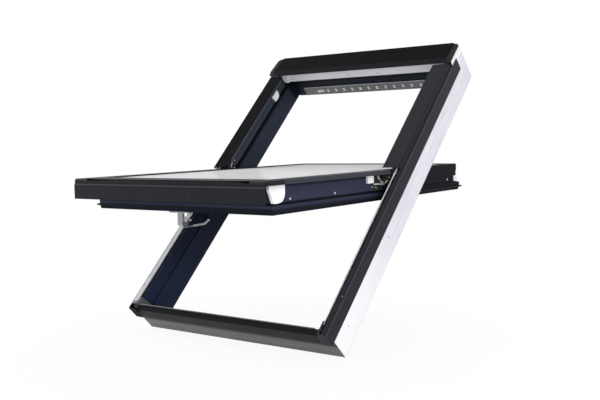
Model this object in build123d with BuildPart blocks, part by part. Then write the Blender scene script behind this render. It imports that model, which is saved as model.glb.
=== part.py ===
from build123d import *
from math import cos, radians, sin
import os

# Centre-pivot roof window, 780 x 1180 mm, shown in its roof slope with the sash half open.
# Millimetres. The window is described in its own plane: x across, s up the slope from the
# outer face of the sill, n outward from the edge of the outer side faces.

# Overall sizes
frame_width = 780.0
frame_length = 1180.0
frame_depth = 131.0
roof_pitch = 45.0
opening_angle = 44.3

# Frame members: thickness seen from the room, and plastic wall
side_member = 44.0
sill_member = 50.0
head_member = 48.0
frame_wall = 3.2
sill_wall = 27.0
sill_lip_gap = 2.0

# Apex of the side members, where the inner edge of the outer cover lies
apex_in = 10.0
apex_out = 3.5
apex_flat = 2.0
lip_in = 21.0
lip_out = -1.4
seal_seat_in = 28.5
seal_seat_out = -9.0
crease_out = -6.0
groove_out = -45.0
groove_width = 5.0
groove_in = 40.0

# Pivot axis on the closed window: a virtual axis just outside the glass
pivot_up = frame_length / 2 + 10.0
pivot_out = 30.0

# Sash
sash_side_gap = 9.5
sash_foot_gap = 9.0
sash_head_gap = 4.0
sash_rail = 42.0
sash_bottom = -82.0
sash_top = 10.5
sash_wall = 3.0
sash_head_step = 27.0
sash_groove_out = -50.0
sash_groove_width = 3.0
glass_edge = 10.5
glass_seat = -16.5
outer_glass = 4.0
inner_glass = 4.0
glass_cavity = 16.0
spacer_width = 9.0
glass_tape = 1.5

# Sheet covers
cover_sheet = 1.5
flange_depth = 52.0
side_cover_foot = 14.0
side_cover_head = 49.0
end_plate_in = 28.0
upper_cover_reach = 64.0
upper_cover_out = 15.0
upper_cover_inset = 4.0
upper_cover_drop = 10.5
upper_cover_lip = 2.3
hood_front = 92.0
hood_back = 6.0
hood_front_out = 22.0
hood_back_out = 17.0
hood_lip = 8.0
hood_lip_run = 16.0
hood_tail = 30.0
hood_end = 20.0
sill_cover_stand = 10.0
sill_cover_drop = 55.0
front_reach = 68.7
front_drop = 48.6
sash_cover_side = 31.5
sash_cover_lap = 18.0
side_cover_end = 10.0
trim_bevel = 5.0
recess_half = 315.0
recess_back = 8.8
recess_level = 6.5
drain_width = 30.0
end_block_length = 23.0
end_block_height = 19.5
end_block_sheet = 3.0

# Hinge
hinge_radius = 44.0
hinge_rail = 6.0
hinge_clearance = 0.1
hinge_shoe = 5.5
hinge_plate = 2.5
hinge_half_length = 60.0
hinge_reach = 60.0
hinge_shoe_reach = 35.0
hinge_pocket_in = 34.0
hinge_plate_frame = 3.0
hinge_screw_spread = 50.0
hinge_screw_out = -42.0
hinge_screw_grip = 10.0

# Handle and lock
handle_at = -18.0
handle_from_foot = 25.0
rosette_length = 75.0
rosette_width = 18.0
rosette_height = 5.0
handle_neck = 19.0
handle_drop = 42.0
lever_length = 108.0
lever_radius = 3.0
latch_radius = 1.4
bolt_width = 20.0
bolt_height = 6.0
bolt_length = 30.0
bolt_travel = 14.0
bolt_gap = 0.3

# Ventilation strip in the head
vent_length = 606.0
vent_height = 36.0
vent_sheet = 3.0
vent_hole = 9.0
vent_hole_height = 13.0
vent_holes = 12
vent_pitch = 37.0
vent_first_hole = -193.0
vent_travel = vent_pitch / 2
shutter_sheet = 2.0

# Fasteners
screw_head = 7.0
screw_shank = 3.5
screw_head_height = 2.0
bracket_hole = 5.0
bracket_foot = 74.0
bracket_upper = 180.0
bracket_head = 80.0
sash_screw_foot = 75.0
sash_screw_middle = 287.0
sash_screw_head = 98.0

half_width = frame_width / 2
sash_half = half_width - side_member - sash_side_gap
sash_foot = sill_wall + sash_foot_gap
sash_end = frame_length - head_member - sash_head_gap
sash_step = sash_end - sash_head_step
glass_half = sash_half - glass_edge
glass_foot = sash_foot + glass_edge
glass_head = sash_end - sash_head_step - glass_edge
cover_top = sash_top + cover_sheet

# The window's plane, tilted to the roof; the sash turns about the pivot axis
frame_seat = Location((0, 0, 0), (roof_pitch, 0, 0)) * Location((0, -sill_member / 2, frame_depth))
to_pivot = Location((0, pivot_up, pivot_out))
from_pivot = Location((0, -pivot_up, -pivot_out))
sash_seat = frame_seat * to_pivot * Location((0, 0, 0), (-opening_angle, 0, 0)) * from_pivot


def flat(seat, n=0.0):
    """Plane of the window: x across, y up the slope, z outward."""
    return Plane(seat * Location((0, 0, n)))


def across(seat, s=0.0):
    """Section across the window: x across, y outward, facing down the slope."""
    return Plane(seat * Location((0, s, 0), (90, 0, 0)))


def along(seat, x=0.0):
    """Section along the window: x up the slope, y outward, facing to the right."""
    base = Plane(seat)
    return Plane(origin=base.from_local_coords((x, 0, 0)), x_dir=base.y_dir, z_dir=base.x_dir)


def at(seat, x, s, n):
    """Location square to the window at a point of it."""
    return seat * Location((x, s, n))


def facing_side(seat, x, s, n):
    """Location whose own z axis points to the right across the window."""
    return at(seat, x, s, n) * Location((0, 0, 0), (0, 90, 0))


def mitre(seat, x, s, across_side, up_side):
    """Plane at 45 degrees through a corner, facing the piece that is kept."""
    base = Plane(seat)
    normal = base.x_dir * across_side + base.y_dir * up_side
    return Plane(origin=base.from_local_coords((x, s, 0)), z_dir=normal)


def outline(plane, points, holes=()):
    """Closed section through the points, less rectangular chambers given by two corners."""
    with BuildSketch(plane) as section:
        with BuildLine():
            Polyline(*points, close=True)
        make_face()
        for x0, y0, x1, y1 in holes:
            with Locations(((x0 + x1) / 2, (y0 + y1) / 2)):
                Rectangle(abs(x1 - x0), abs(y1 - y0), mode=Mode.SUBTRACT)
    return section.sketch


def folded(plane, bends, thickness=cover_sheet):
    """Section of a sheet folded through the points, its thickness to the left of them."""
    with BuildSketch(plane) as section:
        with BuildLine():
            Polyline(*bends)
            offset(amount=thickness, side=Side.LEFT, kind=Kind.INTERSECTION)
        make_face()
    return section.sketch


def cut_box(seat, x, s, n, dx, ds, dn):
    """Take a box out of the piece being built."""
    with Locations(at(seat, x, s, n)):
        Box(dx, ds, dn, mode=Mode.SUBTRACT)


def cut_bore(place, radius, depth):
    """Take a round hole, centred on the place, out of the piece being built."""
    with Locations(place):
        Cylinder(radius, depth, mode=Mode.SUBTRACT)


def left_of(right):
    """The mirror image of a piece on the right."""
    with BuildPart() as left:
        mirror(right.part, about=Plane.YZ)
    return left


# Frame: four hollow plastic members, mitred at the corners
def from_side(points):
    return [(half_width - u, n) for u, n in points]


side_outline = [
    (0, -frame_depth), (0, crease_out), (apex_in, apex_out), (apex_in + apex_flat, apex_out),
    (lip_in - 2, lip_out + 0.4), (lip_in, lip_out), (lip_in, seal_seat_out),
    (seal_seat_in, seal_seat_out), (groove_in, groove_out), (groove_in - 3, groove_out),
    (groove_in - 3, groove_out - groove_width), (side_member, groove_out - groove_width),
    (side_member, -frame_depth),
]
chamber_in = side_member - frame_wall
side_chambers = [
    (frame_wall, -frame_depth + frame_wall, chamber_in, -frame_depth + 36),
    (frame_wall, -frame_depth + 39, chamber_in, groove_out - groove_width - frame_wall),
    (frame_wall, groove_out, seal_seat_in - frame_wall, seal_seat_out - frame_wall),
]
bracket_spots = (bracket_foot, pivot_up + bracket_upper, frame_length - bracket_head)
bracket_out = -84.0


def side_holes(points):
    return [(half_width - u0, n0, half_width - u1, n1) for u0, n0, u1, n1 in points]


with BuildPart() as frame_side_right:
    extrude(outline(across(frame_seat), from_side(side_outline), side_holes(side_chambers)),
            amount=-frame_length)
    split(bisect_by=mitre(frame_seat, half_width, 0, 1, 1), keep=Keep.TOP)
    split(bisect_by=mitre(frame_seat, half_width, frame_length, 1, -1), keep=Keep.TOP)
    # flat seat for the hinge
    pocket_depth = side_member - hinge_pocket_in
    pocket_low = groove_out - groove_width
    cut_box(frame_seat, half_width - hinge_pocket_in - pocket_depth / 2, pivot_up,
            (pocket_low + seal_seat_out) / 2, pocket_depth, 2 * hinge_half_length + 6,
            seal_seat_out - pocket_low)
    for spot in bracket_spots:
        cut_bore(facing_side(frame_seat, half_width - frame_wall / 2, spot, bracket_out),
                 bracket_hole / 2, frame_wall + 2)
    for spot in (-1, 1):
        cut_bore(facing_side(frame_seat, half_width - hinge_pocket_in + hinge_screw_grip / 2,
                             pivot_up + spot * hinge_screw_spread, hinge_screw_out),
                 screw_shank / 2, hinge_screw_grip)
frame_side_left = left_of(frame_side_right)

# The sill falls away inward, so that the sash front swings clear over it
sill_lip_out = sash_bottom - sill_lip_gap
sill_outline = [
    (0, -frame_depth), (0, crease_out), (4, crease_out + 3.6), (sill_wall - 1, groove_out - 1),
    (sill_wall, groove_out - groove_width), (sill_wall, sill_lip_out),
    (sill_member, sill_lip_out), (sill_member, -frame_depth),
]
sill_chambers = [
    (frame_wall, -frame_depth + frame_wall, sill_member - frame_wall, sill_lip_out - frame_wall),
    (frame_wall, sill_lip_out, sill_wall - frame_wall, groove_out - 8),
]
bolt_middle = -63.0
with BuildPart() as frame_sill:
    extrude(outline(along(frame_seat, -half_width), sill_outline, sill_chambers),
            amount=frame_width)
    split(bisect_by=mitre(frame_seat, half_width, 0, -1, -1), keep=Keep.TOP)
    split(bisect_by=mitre(frame_seat, -half_width, 0, 1, -1), keep=Keep.TOP)
    # keeper slot for the bolt, and the holes for the keeper's screws
    cut_box(frame_seat, handle_at, sill_wall - frame_wall, bolt_middle, bolt_width + 4,
            3 * frame_wall, bolt_height + 4)
    for end in (-1, 1):
        cut_bore(at(frame_seat, handle_at + end * (bolt_width / 2 + 9), sill_wall, bolt_middle)
                 * Location((0, 0, 0), (90, 0, 0)), screw_shank / 2, 16)

vent_low = -frame_depth + 1.5
vent_top = vent_low + vent_height
vent_middle = (vent_low + vent_top) / 2
head_top = frame_length
head_inner = frame_length - head_member
strip_seat = head_member - 4.0
recess_low = -52.0
recess_high = -17.0
head_outline = [
    (head_top, -frame_depth), (head_top, crease_out), (head_top - apex_in, apex_out),
    (head_top - 30, apex_out), (head_top - 34, -14), (head_top - strip_seat, recess_high),
    (head_top - strip_seat, recess_low - 2), (head_inner, recess_low - 4),
    (head_inner, -frame_depth),
]
head_chambers = [
    (head_top - frame_wall, -frame_depth + frame_wall, head_inner + 9, vent_top + 2),
    (head_top - frame_wall, vent_top + 5, head_inner + frame_wall, recess_low - 8),
    (head_top - frame_wall, recess_low - 4, head_top - strip_seat + frame_wall,
     recess_high - 3),
]
shutter_back = head_inner + 1.0 + shutter_sheet + 1.0
with BuildPart() as frame_head:
    extrude(outline(along(frame_seat, -half_width), head_outline, head_chambers),
            amount=frame_width)
    split(bisect_by=mitre(frame_seat, half_width, frame_length, -1, 1), keep=Keep.TOP)
    split(bisect_by=mitre(frame_seat, -half_width, frame_length, 1, 1), keep=Keep.TOP)
    # channel behind the ventilation strip, in which the shutter slides
    channel_depth = shutter_back - head_inner
    cut_box(frame_seat, 0, head_inner + channel_depth / 2, vent_middle,
            vent_length - 12, channel_depth, vent_height - 8)

# Seal in the seat of each side member, and in the sill
seal_top = -3.0
seal_points = [
    (lip_in + 0.3, seal_seat_out), (lip_in + 0.3, seal_top - 1.5), (lip_in + 1.8, seal_top),
    (seal_seat_in - 2.3, seal_top), (seal_seat_in - 0.8, seal_top - 1.5),
    (seal_seat_in - 0.4, seal_seat_out),
]
with BuildPart() as side_seal_right:
    extrude(outline(across(frame_seat, lip_in + 12), from_side(seal_points)),
            amount=-(frame_length - lip_in - 12 - head_member))
side_seal_left = left_of(side_seal_right)

# White strip under the hood, carried by the head's edge, with a round cap at each end
seal_half = half_width - side_member - 1.0
strip_half = half_width - groove_in + 2.5
strip_sheet = 3.5
strip_front = sash_step + cover_sheet + 1.5
strip_low = -33.0
strip_top = 1.0
strip_cap_radius = 17.0
strip_cap_in = 53.0
head_edge = (apex_out + 14) / 4


def head_face(n):
    """Place up the slope of the head's sloping outer edge at a height."""
    return head_top - 30 - (apex_out - n) / head_edge


with BuildPart() as head_strip:
    strip_under = strip_top - strip_sheet
    extrude(outline(along(frame_seat, -strip_half), [
        (strip_front, strip_low), (strip_front, strip_top), (head_face(strip_top), strip_top),
        (head_face(strip_under), strip_under), (strip_front + strip_sheet, strip_under),
        (strip_front + strip_sheet, strip_low),
    ]), amount=2 * strip_half)
    for side in (-1, 1):
        with Locations(at(frame_seat, side * (half_width - strip_cap_in),
                          strip_front + strip_sheet / 2, strip_low + 11)
                       * Location((0, 0, 0), (90, 0, 0))):
            Cylinder(strip_cap_radius, strip_sheet)

# Ventilation strip with its holes and slider slot
knob_width = 12.0
knob_at = vent_first_hole - 42.0
with BuildPart() as vent_grille:
    with Locations(at(frame_seat, 0, head_inner - vent_sheet / 2, vent_middle)):
        Box(vent_length, vent_sheet, vent_height)
    for count in range(vent_holes):
        cut_box(frame_seat, vent_first_hole + count * vent_pitch, head_inner - vent_sheet / 2,
                vent_middle, vent_hole, 2 * vent_sheet, vent_hole_height)
    cut_box(frame_seat, knob_at + vent_travel / 2, head_inner - vent_sheet / 2, vent_middle,
            knob_width + vent_travel + 2, 2 * vent_sheet, 11.0)

with BuildPart() as vent_shutter:
    shutter_length = vent_length - 12 - 2 * (vent_travel + 2)
    shutter_mid = head_inner + 1.0 + shutter_sheet / 2
    with Locations(at(frame_seat, 0, shutter_mid, vent_middle)):
        Box(shutter_length, shutter_sheet, vent_height - 10)
    with Locations(at(frame_seat, knob_at, shutter_mid - (vent_sheet + 6) / 2, vent_middle)):
        Box(knob_width, vent_sheet + 6, 9.0)
    for count in range(vent_holes):
        cut_box(frame_seat, vent_first_hole + count * vent_pitch - vent_travel, shutter_mid,
                vent_middle, vent_hole, 2 * shutter_sheet, vent_hole_height)

# White stop plates with one round corner, on the slanted faces of the side members
stop_from_head = 177.0
stop_length = 42.0
stop_sheet = 5.0
stop_high, stop_low = 14.7, 37.3
frame_plane = Plane(frame_seat)
slant_top = frame_plane.from_local_coords((half_width - seal_seat_in,
                                           frame_length - stop_from_head, seal_seat_out))
slant_foot = frame_plane.from_local_coords((half_width - groove_in,
                                            frame_length - stop_from_head, groove_out))
slant = Plane(origin=slant_top, x_dir=frame_plane.y_dir,
              z_dir=frame_plane.y_dir.cross(slant_foot - slant_top))
with BuildPart() as stop_block_right:
    with BuildSketch(slant) as stop_section:
        with BuildLine():
            Polyline((stop_length / 2 + 1, stop_low), (0, stop_low), (0, stop_high),
                     (stop_length, stop_high))
            ThreePointArc((stop_length, stop_high), (stop_length - 4, stop_high + 12.3),
                          (stop_length / 2 + 1, stop_low))
        make_face()
    extrude(amount=stop_sheet)
stop_block_left = left_of(stop_block_right)

# Sheet covers of the side members: side flange, crease and slope to the apex
flange_x = half_width
cover_points = [(flange_x, -flange_depth), (flange_x, crease_out), (half_width - apex_in, apex_out)]
with BuildPart() as side_cover_right:
    extrude(folded(across(frame_seat, -side_cover_foot), cover_points[::-1]),
            amount=-(frame_length + side_cover_foot - side_cover_head))
    facet_end = frame_length - hood_front + 4
    cut_box(frame_seat, half_width - 15, facet_end + 50, 0, 30, 100, 20)
    # end plate over the foot of the member
    extrude(outline(across(frame_seat, -side_cover_foot), [
        (half_width - end_plate_in, -flange_depth - 2), (half_width, -flange_depth),
        (half_width, crease_out), (half_width - apex_in, apex_out),
        (half_width - lip_in, lip_out - 1), (half_width - end_plate_in, lip_out - 1),
    ]), amount=-cover_sheet)
side_cover_left = left_of(side_cover_right)

# Fixed covers over the upper half, each on its carrier
carrier_low = apex_out
carrier_x0 = half_width - apex_in - apex_flat - 3.5
carrier_x1 = half_width - apex_in - 0.6
bevel = (apex_out - lip_out - 0.4) / (lip_in - 2 - apex_in - apex_flat)
upper_end = frame_length - hood_front - 6.0
upper_under = upper_cover_out - cover_sheet
upper_cover_inner = half_width - upper_cover_reach
upper_cover_edge = half_width - upper_cover_inset
with BuildPart() as upper_cover_right:
    with BuildSketch(across(frame_seat, pivot_up)):
        with BuildLine():
            Polyline((upper_cover_inner, upper_cover_out - upper_cover_lip),
                     (upper_cover_inner, upper_cover_out),
                     (upper_cover_edge - 6, upper_cover_out))
            RadiusArc((upper_cover_edge - 6, upper_cover_out),
                      (upper_cover_edge, upper_cover_out - 6), 6)
            Line((upper_cover_edge, upper_cover_out - 6),
                 (upper_cover_edge, upper_cover_out - upper_cover_drop))
            offset(amount=cover_sheet, side=Side.RIGHT, kind=Kind.INTERSECTION)
        make_face()
    extrude(amount=-(upper_end - pivot_up))
upper_cover_left = left_of(upper_cover_right)

with BuildPart() as cover_carrier_right:
    extrude(outline(across(frame_seat, pivot_up + 4), [
        (carrier_x1, carrier_low), (carrier_x1, upper_under), (carrier_x0, upper_under),
        (carrier_x0, apex_out - bevel * 3.5), (half_width - apex_in - apex_flat, carrier_low),
    ]), amount=-(upper_end - pivot_up - 8))
cover_carrier_left = left_of(cover_carrier_right)

# White corner blocks that carry the ends of the hood
hood_front_at = frame_length - hood_front
block_top = hood_back_out - 3.0
with BuildPart() as hood_block_right:
    extrude(outline(across(frame_seat, facet_end + 1), [
        (half_width, crease_out), (half_width, block_top), (half_width - lip_in + 2, block_top),
        (half_width - lip_in + 2, lip_out + 0.4), (half_width - apex_in - apex_flat, apex_out),
        (half_width - apex_in, apex_out),
    ]), amount=-(frame_length - facet_end - 1))
    split(bisect_by=mitre(frame_seat, half_width, frame_length, 1, -1), keep=Keep.TOP)
hood_block_left = left_of(hood_block_right)

# Hood over the head, and its two moulded end caps
hood_crease = hood_front_at + hood_lip_run
hood_slope = (hood_front_out - hood_back_out) / (frame_length + hood_back - hood_crease)
lip_slope = hood_lip / (hood_lip_run + 2)
hood_half = half_width - hood_end
hood_bends = [
    (frame_length + hood_back, -hood_tail), (frame_length + hood_back, hood_back_out),
    (hood_crease, hood_front_out), (hood_front_at - 2, hood_front_out - hood_lip),
]
with BuildPart() as hood:
    extrude(folded(along(frame_seat, 0), hood_bends[::-1], -cover_sheet), amount=hood_half,
            both=True)

# Sheet cover of the sill: front flange, crease and slope over the sill
sill_bends = [
    (-sill_cover_stand, -sill_cover_drop), (-sill_cover_stand, crease_out - 8),
    (4, -0.4), (7, -6),
]
sill_cover_half = half_width - side_member + 1.0
with BuildPart() as sill_cover:
    extrude(folded(along(frame_seat, 0), sill_bends, cover_sheet), amount=sill_cover_half,
            both=True)

# Moulded end caps of the hood, tucked under its sheet and seated on the corner blocks
cap_out = half_width + 2.0
hood_under = cover_sheet * (1 + hood_slope ** 2) ** 0.5


def hood_line(s):
    """Height of the hood's outer face at a point up the slope."""
    return hood_front_out - (hood_slope * (s - hood_crease) if s > hood_crease
                             else lip_slope * (hood_crease - s))


def cap_section(front, drop):
    back = frame_length + hood_back - cover_sheet
    return outline(along(frame_seat, cap_out), [
        (front, block_top), (front, hood_line(front) - drop * (1 + lip_slope ** 2) ** 0.5),
        (hood_crease + 0.3, hood_line(hood_crease + 0.3) - drop), (back, hood_line(back) - drop),
        (back, block_top - 8), (frame_length + 0.4, block_top - 8),
        (frame_length + 0.4, block_top),
    ])


with BuildPart() as hood_cap_right:
    extrude(cap_section(hood_front_at + 2, hood_under), amount=-(cap_out - hood_half + 16))
    extrude(cap_section(hood_front_at + 1, 0.6), amount=-(cap_out - hood_half - 0.3))
    split(bisect_by=mitre(frame_seat, cap_out, frame_length - 6, -1, -1), keep=Keep.TOP)
hood_cap_left = left_of(hood_cap_right)

# Grey corner seals that fill the corner between the sill's slope and each side member
corner_low, corner_high = -9.0, lip_in + 11.0
corner_skin = 3.5
corner_top = lip_out - 1.0
with BuildPart() as corner_seal_right:
    extrude(outline(across(frame_seat, corner_low), [
        (half_width - seal_seat_in + 3, groove_out - 8), (half_width - seal_seat_in + 3,
                                                          seal_seat_out),
        (half_width - lip_in, seal_seat_out), (half_width - lip_in, corner_top),
        (half_width - seal_seat_in, corner_top),
        (half_width - seal_seat_in - corner_skin, seal_seat_out),
        (half_width - groove_in - corner_skin, groove_out),
        (half_width - groove_in - corner_skin, groove_out - 8),
    ]), amount=-(corner_high - corner_low))
    for rib in range(4):
        cut_box(frame_seat, half_width - groove_in, 9.0 + rib * 5, seal_seat_out, 8, 2, 60)
    add(frame_side_right.part, mode=Mode.SUBTRACT)
    add(frame_sill.part, mode=Mode.SUBTRACT)
corner_seal_left = left_of(corner_seal_right)

# Seal on the lip of the sill, and the keeper plate for the bolt
with BuildPart() as sill_seal:
    with Locations(at(frame_seat, 0, (sill_wall + sill_member) / 2 + 4, sill_lip_out + 0.7)):
        Box(2 * seal_half, 10, 1.4)

keeper_sheet = 1.2
with BuildPart() as keeper_plate:
    with Locations(at(frame_seat, handle_at, sill_wall + keeper_sheet / 2, bolt_middle)):
        Box(bolt_width + 32, keeper_sheet, bolt_height + 18)
    cut_box(frame_seat, handle_at, sill_wall + keeper_sheet / 2, bolt_middle, bolt_width + 4,
            2 * keeper_sheet, bolt_height + 4)
    for end in (-1, 1):
        cut_bore(at(frame_seat, handle_at + end * (bolt_width / 2 + 9), sill_wall, bolt_middle)
                 * Location((0, 0, 0), (90, 0, 0)), screw_shank / 2, 10)

# Friction hinge: an arc rail on the frame, concentric with the virtual pivot axis
hinge_face = half_width - hinge_pocket_in
rail_foot = hinge_face - hinge_plate_frame


def arc_band(seat, x, inner, thick, half_angle):
    """Ring sector about the pivot axis, centred straight inward from it."""
    def point(radius, angle):
        turn = radians(angle)
        return (pivot_up + radius * cos(turn), pivot_out + radius * sin(turn))

    axis = (pivot_up, pivot_out)
    with BuildSketch(along(seat, x)) as section:
        with BuildLine():
            CenterArc(axis, inner, 270 - half_angle, 2 * half_angle)
            CenterArc(axis, inner + thick, 270 - half_angle, 2 * half_angle)
            for angle in (270 - half_angle, 270 + half_angle):
                Line(point(inner, angle), point(inner + thick, angle))
        make_face()
    return section.sketch


with BuildPart() as frame_hinge_right:
    with Locations(at(frame_seat, rail_foot + hinge_plate_frame / 2, pivot_up, -31)):
        Box(hinge_plate_frame, 2 * hinge_half_length, 37)
    extrude(arc_band(frame_seat, rail_foot, hinge_radius, hinge_rail, hinge_reach), amount=-10)
    for spot in (-1, 1):
        cut_bore(facing_side(frame_seat, rail_foot, pivot_up + spot * hinge_screw_spread,
                             hinge_screw_out), screw_shank / 2, 12)
frame_hinge_left = left_of(frame_hinge_right)


def up_slope(seat, x, s, n):
    """Location whose own z axis points down the slope."""
    return at(seat, x, s, n) * Location((0, 0, 0), (90, 0, 0))


def screw(place, grip):
    """Pan-head screw: the head stands on the place, the shank goes back into the work."""
    with BuildSketch(Plane(place)) as head:
        RegularPolygon(screw_head / 2, 14)
    extrude(head.sketch, amount=screw_head_height)
    with BuildSketch(Plane(place)) as shank:
        RegularPolygon(screw_shank / 2, 6)
    extrude(shank.sketch, amount=-grip)


def side_screw(seat, x, s, n, grip, head_side):
    """Screw driven across the window; head_side is where its head lies."""
    turn = 0 if head_side > 0 else 180
    screw(facing_side(seat, x, s, n) * Location((0, 0, 0), (turn, 0, 0)), grip)


keeper_screw_x = bolt_width / 2 + 9
with BuildPart() as frame_screws:
    for side in (-1, 1):
        for spot in (-1, 1):
            side_screw(frame_seat, side * rail_foot, pivot_up + spot * hinge_screw_spread,
                       hinge_screw_out, hinge_plate_frame + hinge_screw_grip - 0.5, -side)
        screw(up_slope(frame_seat, handle_at + side * keeper_screw_x, sill_wall + keeper_sheet, bolt_middle)
              * Location((0, 0, 0), (180, 0, 0)), 8)

# Sash: hollow plastic rails about the glass
sash_outline = [
    (3, sash_bottom), (0, sash_bottom + 12), (0, sash_groove_out - sash_groove_width),
    (sash_groove_width, sash_groove_out - sash_groove_width), (sash_groove_width, sash_groove_out),
    (0, sash_groove_out), (0, sash_top), (glass_edge - 0.5, sash_top),
    (glass_edge - 0.5, glass_seat), (sash_rail - 4, glass_seat), (sash_rail, glass_seat - 4),
    (sash_rail, sash_bottom + 10), (sash_rail - 8, sash_bottom),
]
sash_chambers = [
    (2 * sash_wall, sash_bottom + 4, sash_rail - 3 * sash_wall,
     sash_groove_out - sash_groove_width - 4),
    (sash_wall, sash_groove_out + 3, sash_rail - sash_wall, glass_seat - 4),
]
sash_head_rail = 60.0
sash_head_foot = sash_end - sash_head_rail
sash_hinge_spread = 56.0
sash_hinge_out = -40.0
side_screw_spots = (sash_foot + sash_screw_foot, sash_foot + sash_screw_middle,
                    sash_end - sash_screw_head)
side_screw_out = -42.0
with BuildPart() as sash_side_right:
    extrude(outline(across(sash_seat, sash_foot), [(sash_half - q, n) for q, n in sash_outline],
                    [(sash_half - q0, n0, sash_half - q1, n1)
                     for q0, n0, q1, n1 in sash_chambers]),
            amount=-(sash_head_foot - sash_foot))
    split(bisect_by=mitre(sash_seat, sash_half, sash_foot, 1, 1), keep=Keep.TOP)
    for spot in (-1, 1):
        cut_bore(facing_side(sash_seat, sash_half, pivot_up + spot * sash_hinge_spread,
                             sash_hinge_out), screw_shank / 2, 4 * sash_wall)
    for spot in side_screw_spots:
        cut_bore(facing_side(sash_seat, sash_half, spot, side_screw_out), screw_shank / 2,
                 4 * sash_wall)
sash_side_left = left_of(sash_side_right)

handle_s = sash_foot + handle_from_foot
spindle = 4.0
with BuildPart() as sash_sill:
    extrude(outline(along(sash_seat, -sash_half), [(sash_foot + q, n) for q, n in sash_outline],
                    [(sash_foot + q0, n0, sash_foot + q1, n1)
                     for q0, n0, q1, n1 in sash_chambers]), amount=2 * sash_half)
    split(bisect_by=mitre(sash_seat, sash_half, sash_foot, -1, -1), keep=Keep.TOP)
    split(bisect_by=mitre(sash_seat, -sash_half, sash_foot, 1, -1), keep=Keep.TOP)
    cut_box(sash_seat, handle_at, sash_foot, bolt_middle, bolt_width + 2 * bolt_gap,
            4 * sash_wall + 2, bolt_height + 2 * bolt_gap)
    cut_bore(at(sash_seat, handle_at, handle_s, sash_bottom), spindle + 0.1, 12)
    for end in (-1, 1):
        cut_bore(at(sash_seat, handle_at + end * (rosette_length / 2 - 8), handle_s,
                    sash_bottom), screw_shank / 2, 12)

with BuildPart() as sash_head:
    extrude(outline(along(sash_seat, -sash_half), [
        (sash_end, sash_groove_out - 4), (sash_end, sash_bottom + 10),
        (sash_end - 12, sash_bottom), (sash_head_foot + 8, sash_bottom),
        (sash_head_foot, sash_bottom + 10), (sash_head_foot, sash_top),
        (sash_step - trim_bevel, sash_top), (sash_step, sash_top - trim_bevel),
        (sash_step, sash_groove_out), (sash_step + 3, sash_groove_out - 4),
    ]), amount=2 * sash_half)
    # chambers, closed at both ends
    for s0, n0, s1, n1 in (
        (sash_head_foot + 9, sash_bottom + 4, sash_end - 14,
         sash_groove_out - sash_groove_width - 4),
        (sash_head_foot + sash_wall, sash_groove_out + 3, sash_step - sash_wall, glass_seat - 4),
    ):
        cut_box(sash_seat, 0, (s0 + s1) / 2, (n0 + n1) / 2, 2 * (sash_half - sash_wall),
                s1 - s0, n1 - n0)
    # rebate for the glass
    rebate_end = glass_head + 0.5
    rebate = rebate_end - sash_head_foot
    cut_box(sash_seat, 0, sash_head_foot + rebate / 2, (sash_top + glass_seat) / 2,
            2 * (sash_half - glass_edge + 0.5), rebate, sash_top - glass_seat)

# Double glazing
glass_length = glass_head - glass_foot
glass_centre = (glass_head + glass_foot) / 2
inner_low = glass_seat + glass_tape
cavity_low = inner_low + inner_glass
cavity_high = cavity_low + glass_cavity
outer_high = cavity_high + outer_glass


def ring(seat, low, high, inset, width):
    """Rectangular ring that follows the edge of the glass."""
    with Locations(at(seat, 0, glass_centre, (low + high) / 2)):
        Box(2 * (glass_half - inset), glass_length - 2 * inset, high - low)
        Box(2 * (glass_half - inset - width), glass_length - 2 * (inset + width), high - low,
            mode=Mode.SUBTRACT)


with BuildPart() as outer_pane:
    with Locations(at(sash_seat, 0, glass_centre, outer_high - outer_glass / 2)):
        Box(2 * glass_half, glass_length, outer_glass)
with BuildPart() as inner_pane:
    with Locations(at(sash_seat, 0, glass_centre, inner_low + inner_glass / 2)):
        Box(2 * glass_half, glass_length, inner_glass)
with BuildPart() as pane_spacer:
    ring(sash_seat, cavity_low, cavity_high, 3.0, spacer_width)
with BuildPart() as glass_bedding:
    ring(sash_seat, glass_seat, inner_low, 0.0, 14.0)
with BuildPart() as glazing_seal:
    ring(sash_seat, outer_high, sash_top, 0.0, 9.0)

# Sheet covers of the sash: the front cladding, the lower sides, the upper sides and the top
cover_out = sash_half + sash_cover_side
lap = sash_cover_lap
cladding_front = sash_foot - front_reach
nose_out = cladding_front + 2.7
nose_top = cladding_front + 7.5
recess_at = nose_out + recess_back
with BuildPart() as sash_cladding:
    extrude(folded(along(sash_seat, 0), [
        (sash_foot + lap, cover_top), (nose_top, cover_top), (nose_out, cover_top - 5),
        (nose_out, -3), (cladding_front, -6), (cladding_front, -front_drop),
    ]), amount=cover_out, both=True)
    for side in (-1, 1):
        with Locations(at(sash_seat, side * (cover_out - cover_sheet / 2),
                          (cladding_front + 8 + sash_foot + lap) / 2, cover_top / 2 - 0.4)):
            Box(cover_sheet, sash_foot + lap - cladding_front - 8, cover_top + 0.8)
    # long recess in the front, with its ledge, back and end walls
    cut_box(sash_seat, 0, recess_at - 10, recess_level + 10, 2 * recess_half, 20, 20)
    extrude(outline(along(sash_seat, 0), [
        (nose_out + 0.7, recess_level), (recess_at, recess_level), (recess_at, cover_top - 0.4),
        (recess_at + cover_sheet, cover_top - 0.4),
        (recess_at + cover_sheet, recess_level - cover_sheet),
        (nose_out + 0.7, recess_level - cover_sheet),
    ]), amount=recess_half + cover_sheet / 2, both=True)
    for side in (-1, 1):
        extrude(outline(along(sash_seat, side * recess_half), [
            (nose_out + 0.4, recess_level - 1), (nose_out + 0.4, cover_top - 5.3),
            (nose_top, cover_top - 0.4), (recess_at + 1, cover_top - 0.4),
            (recess_at + 1, recess_level - 1),
        ]), amount=side * cover_sheet)

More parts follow.
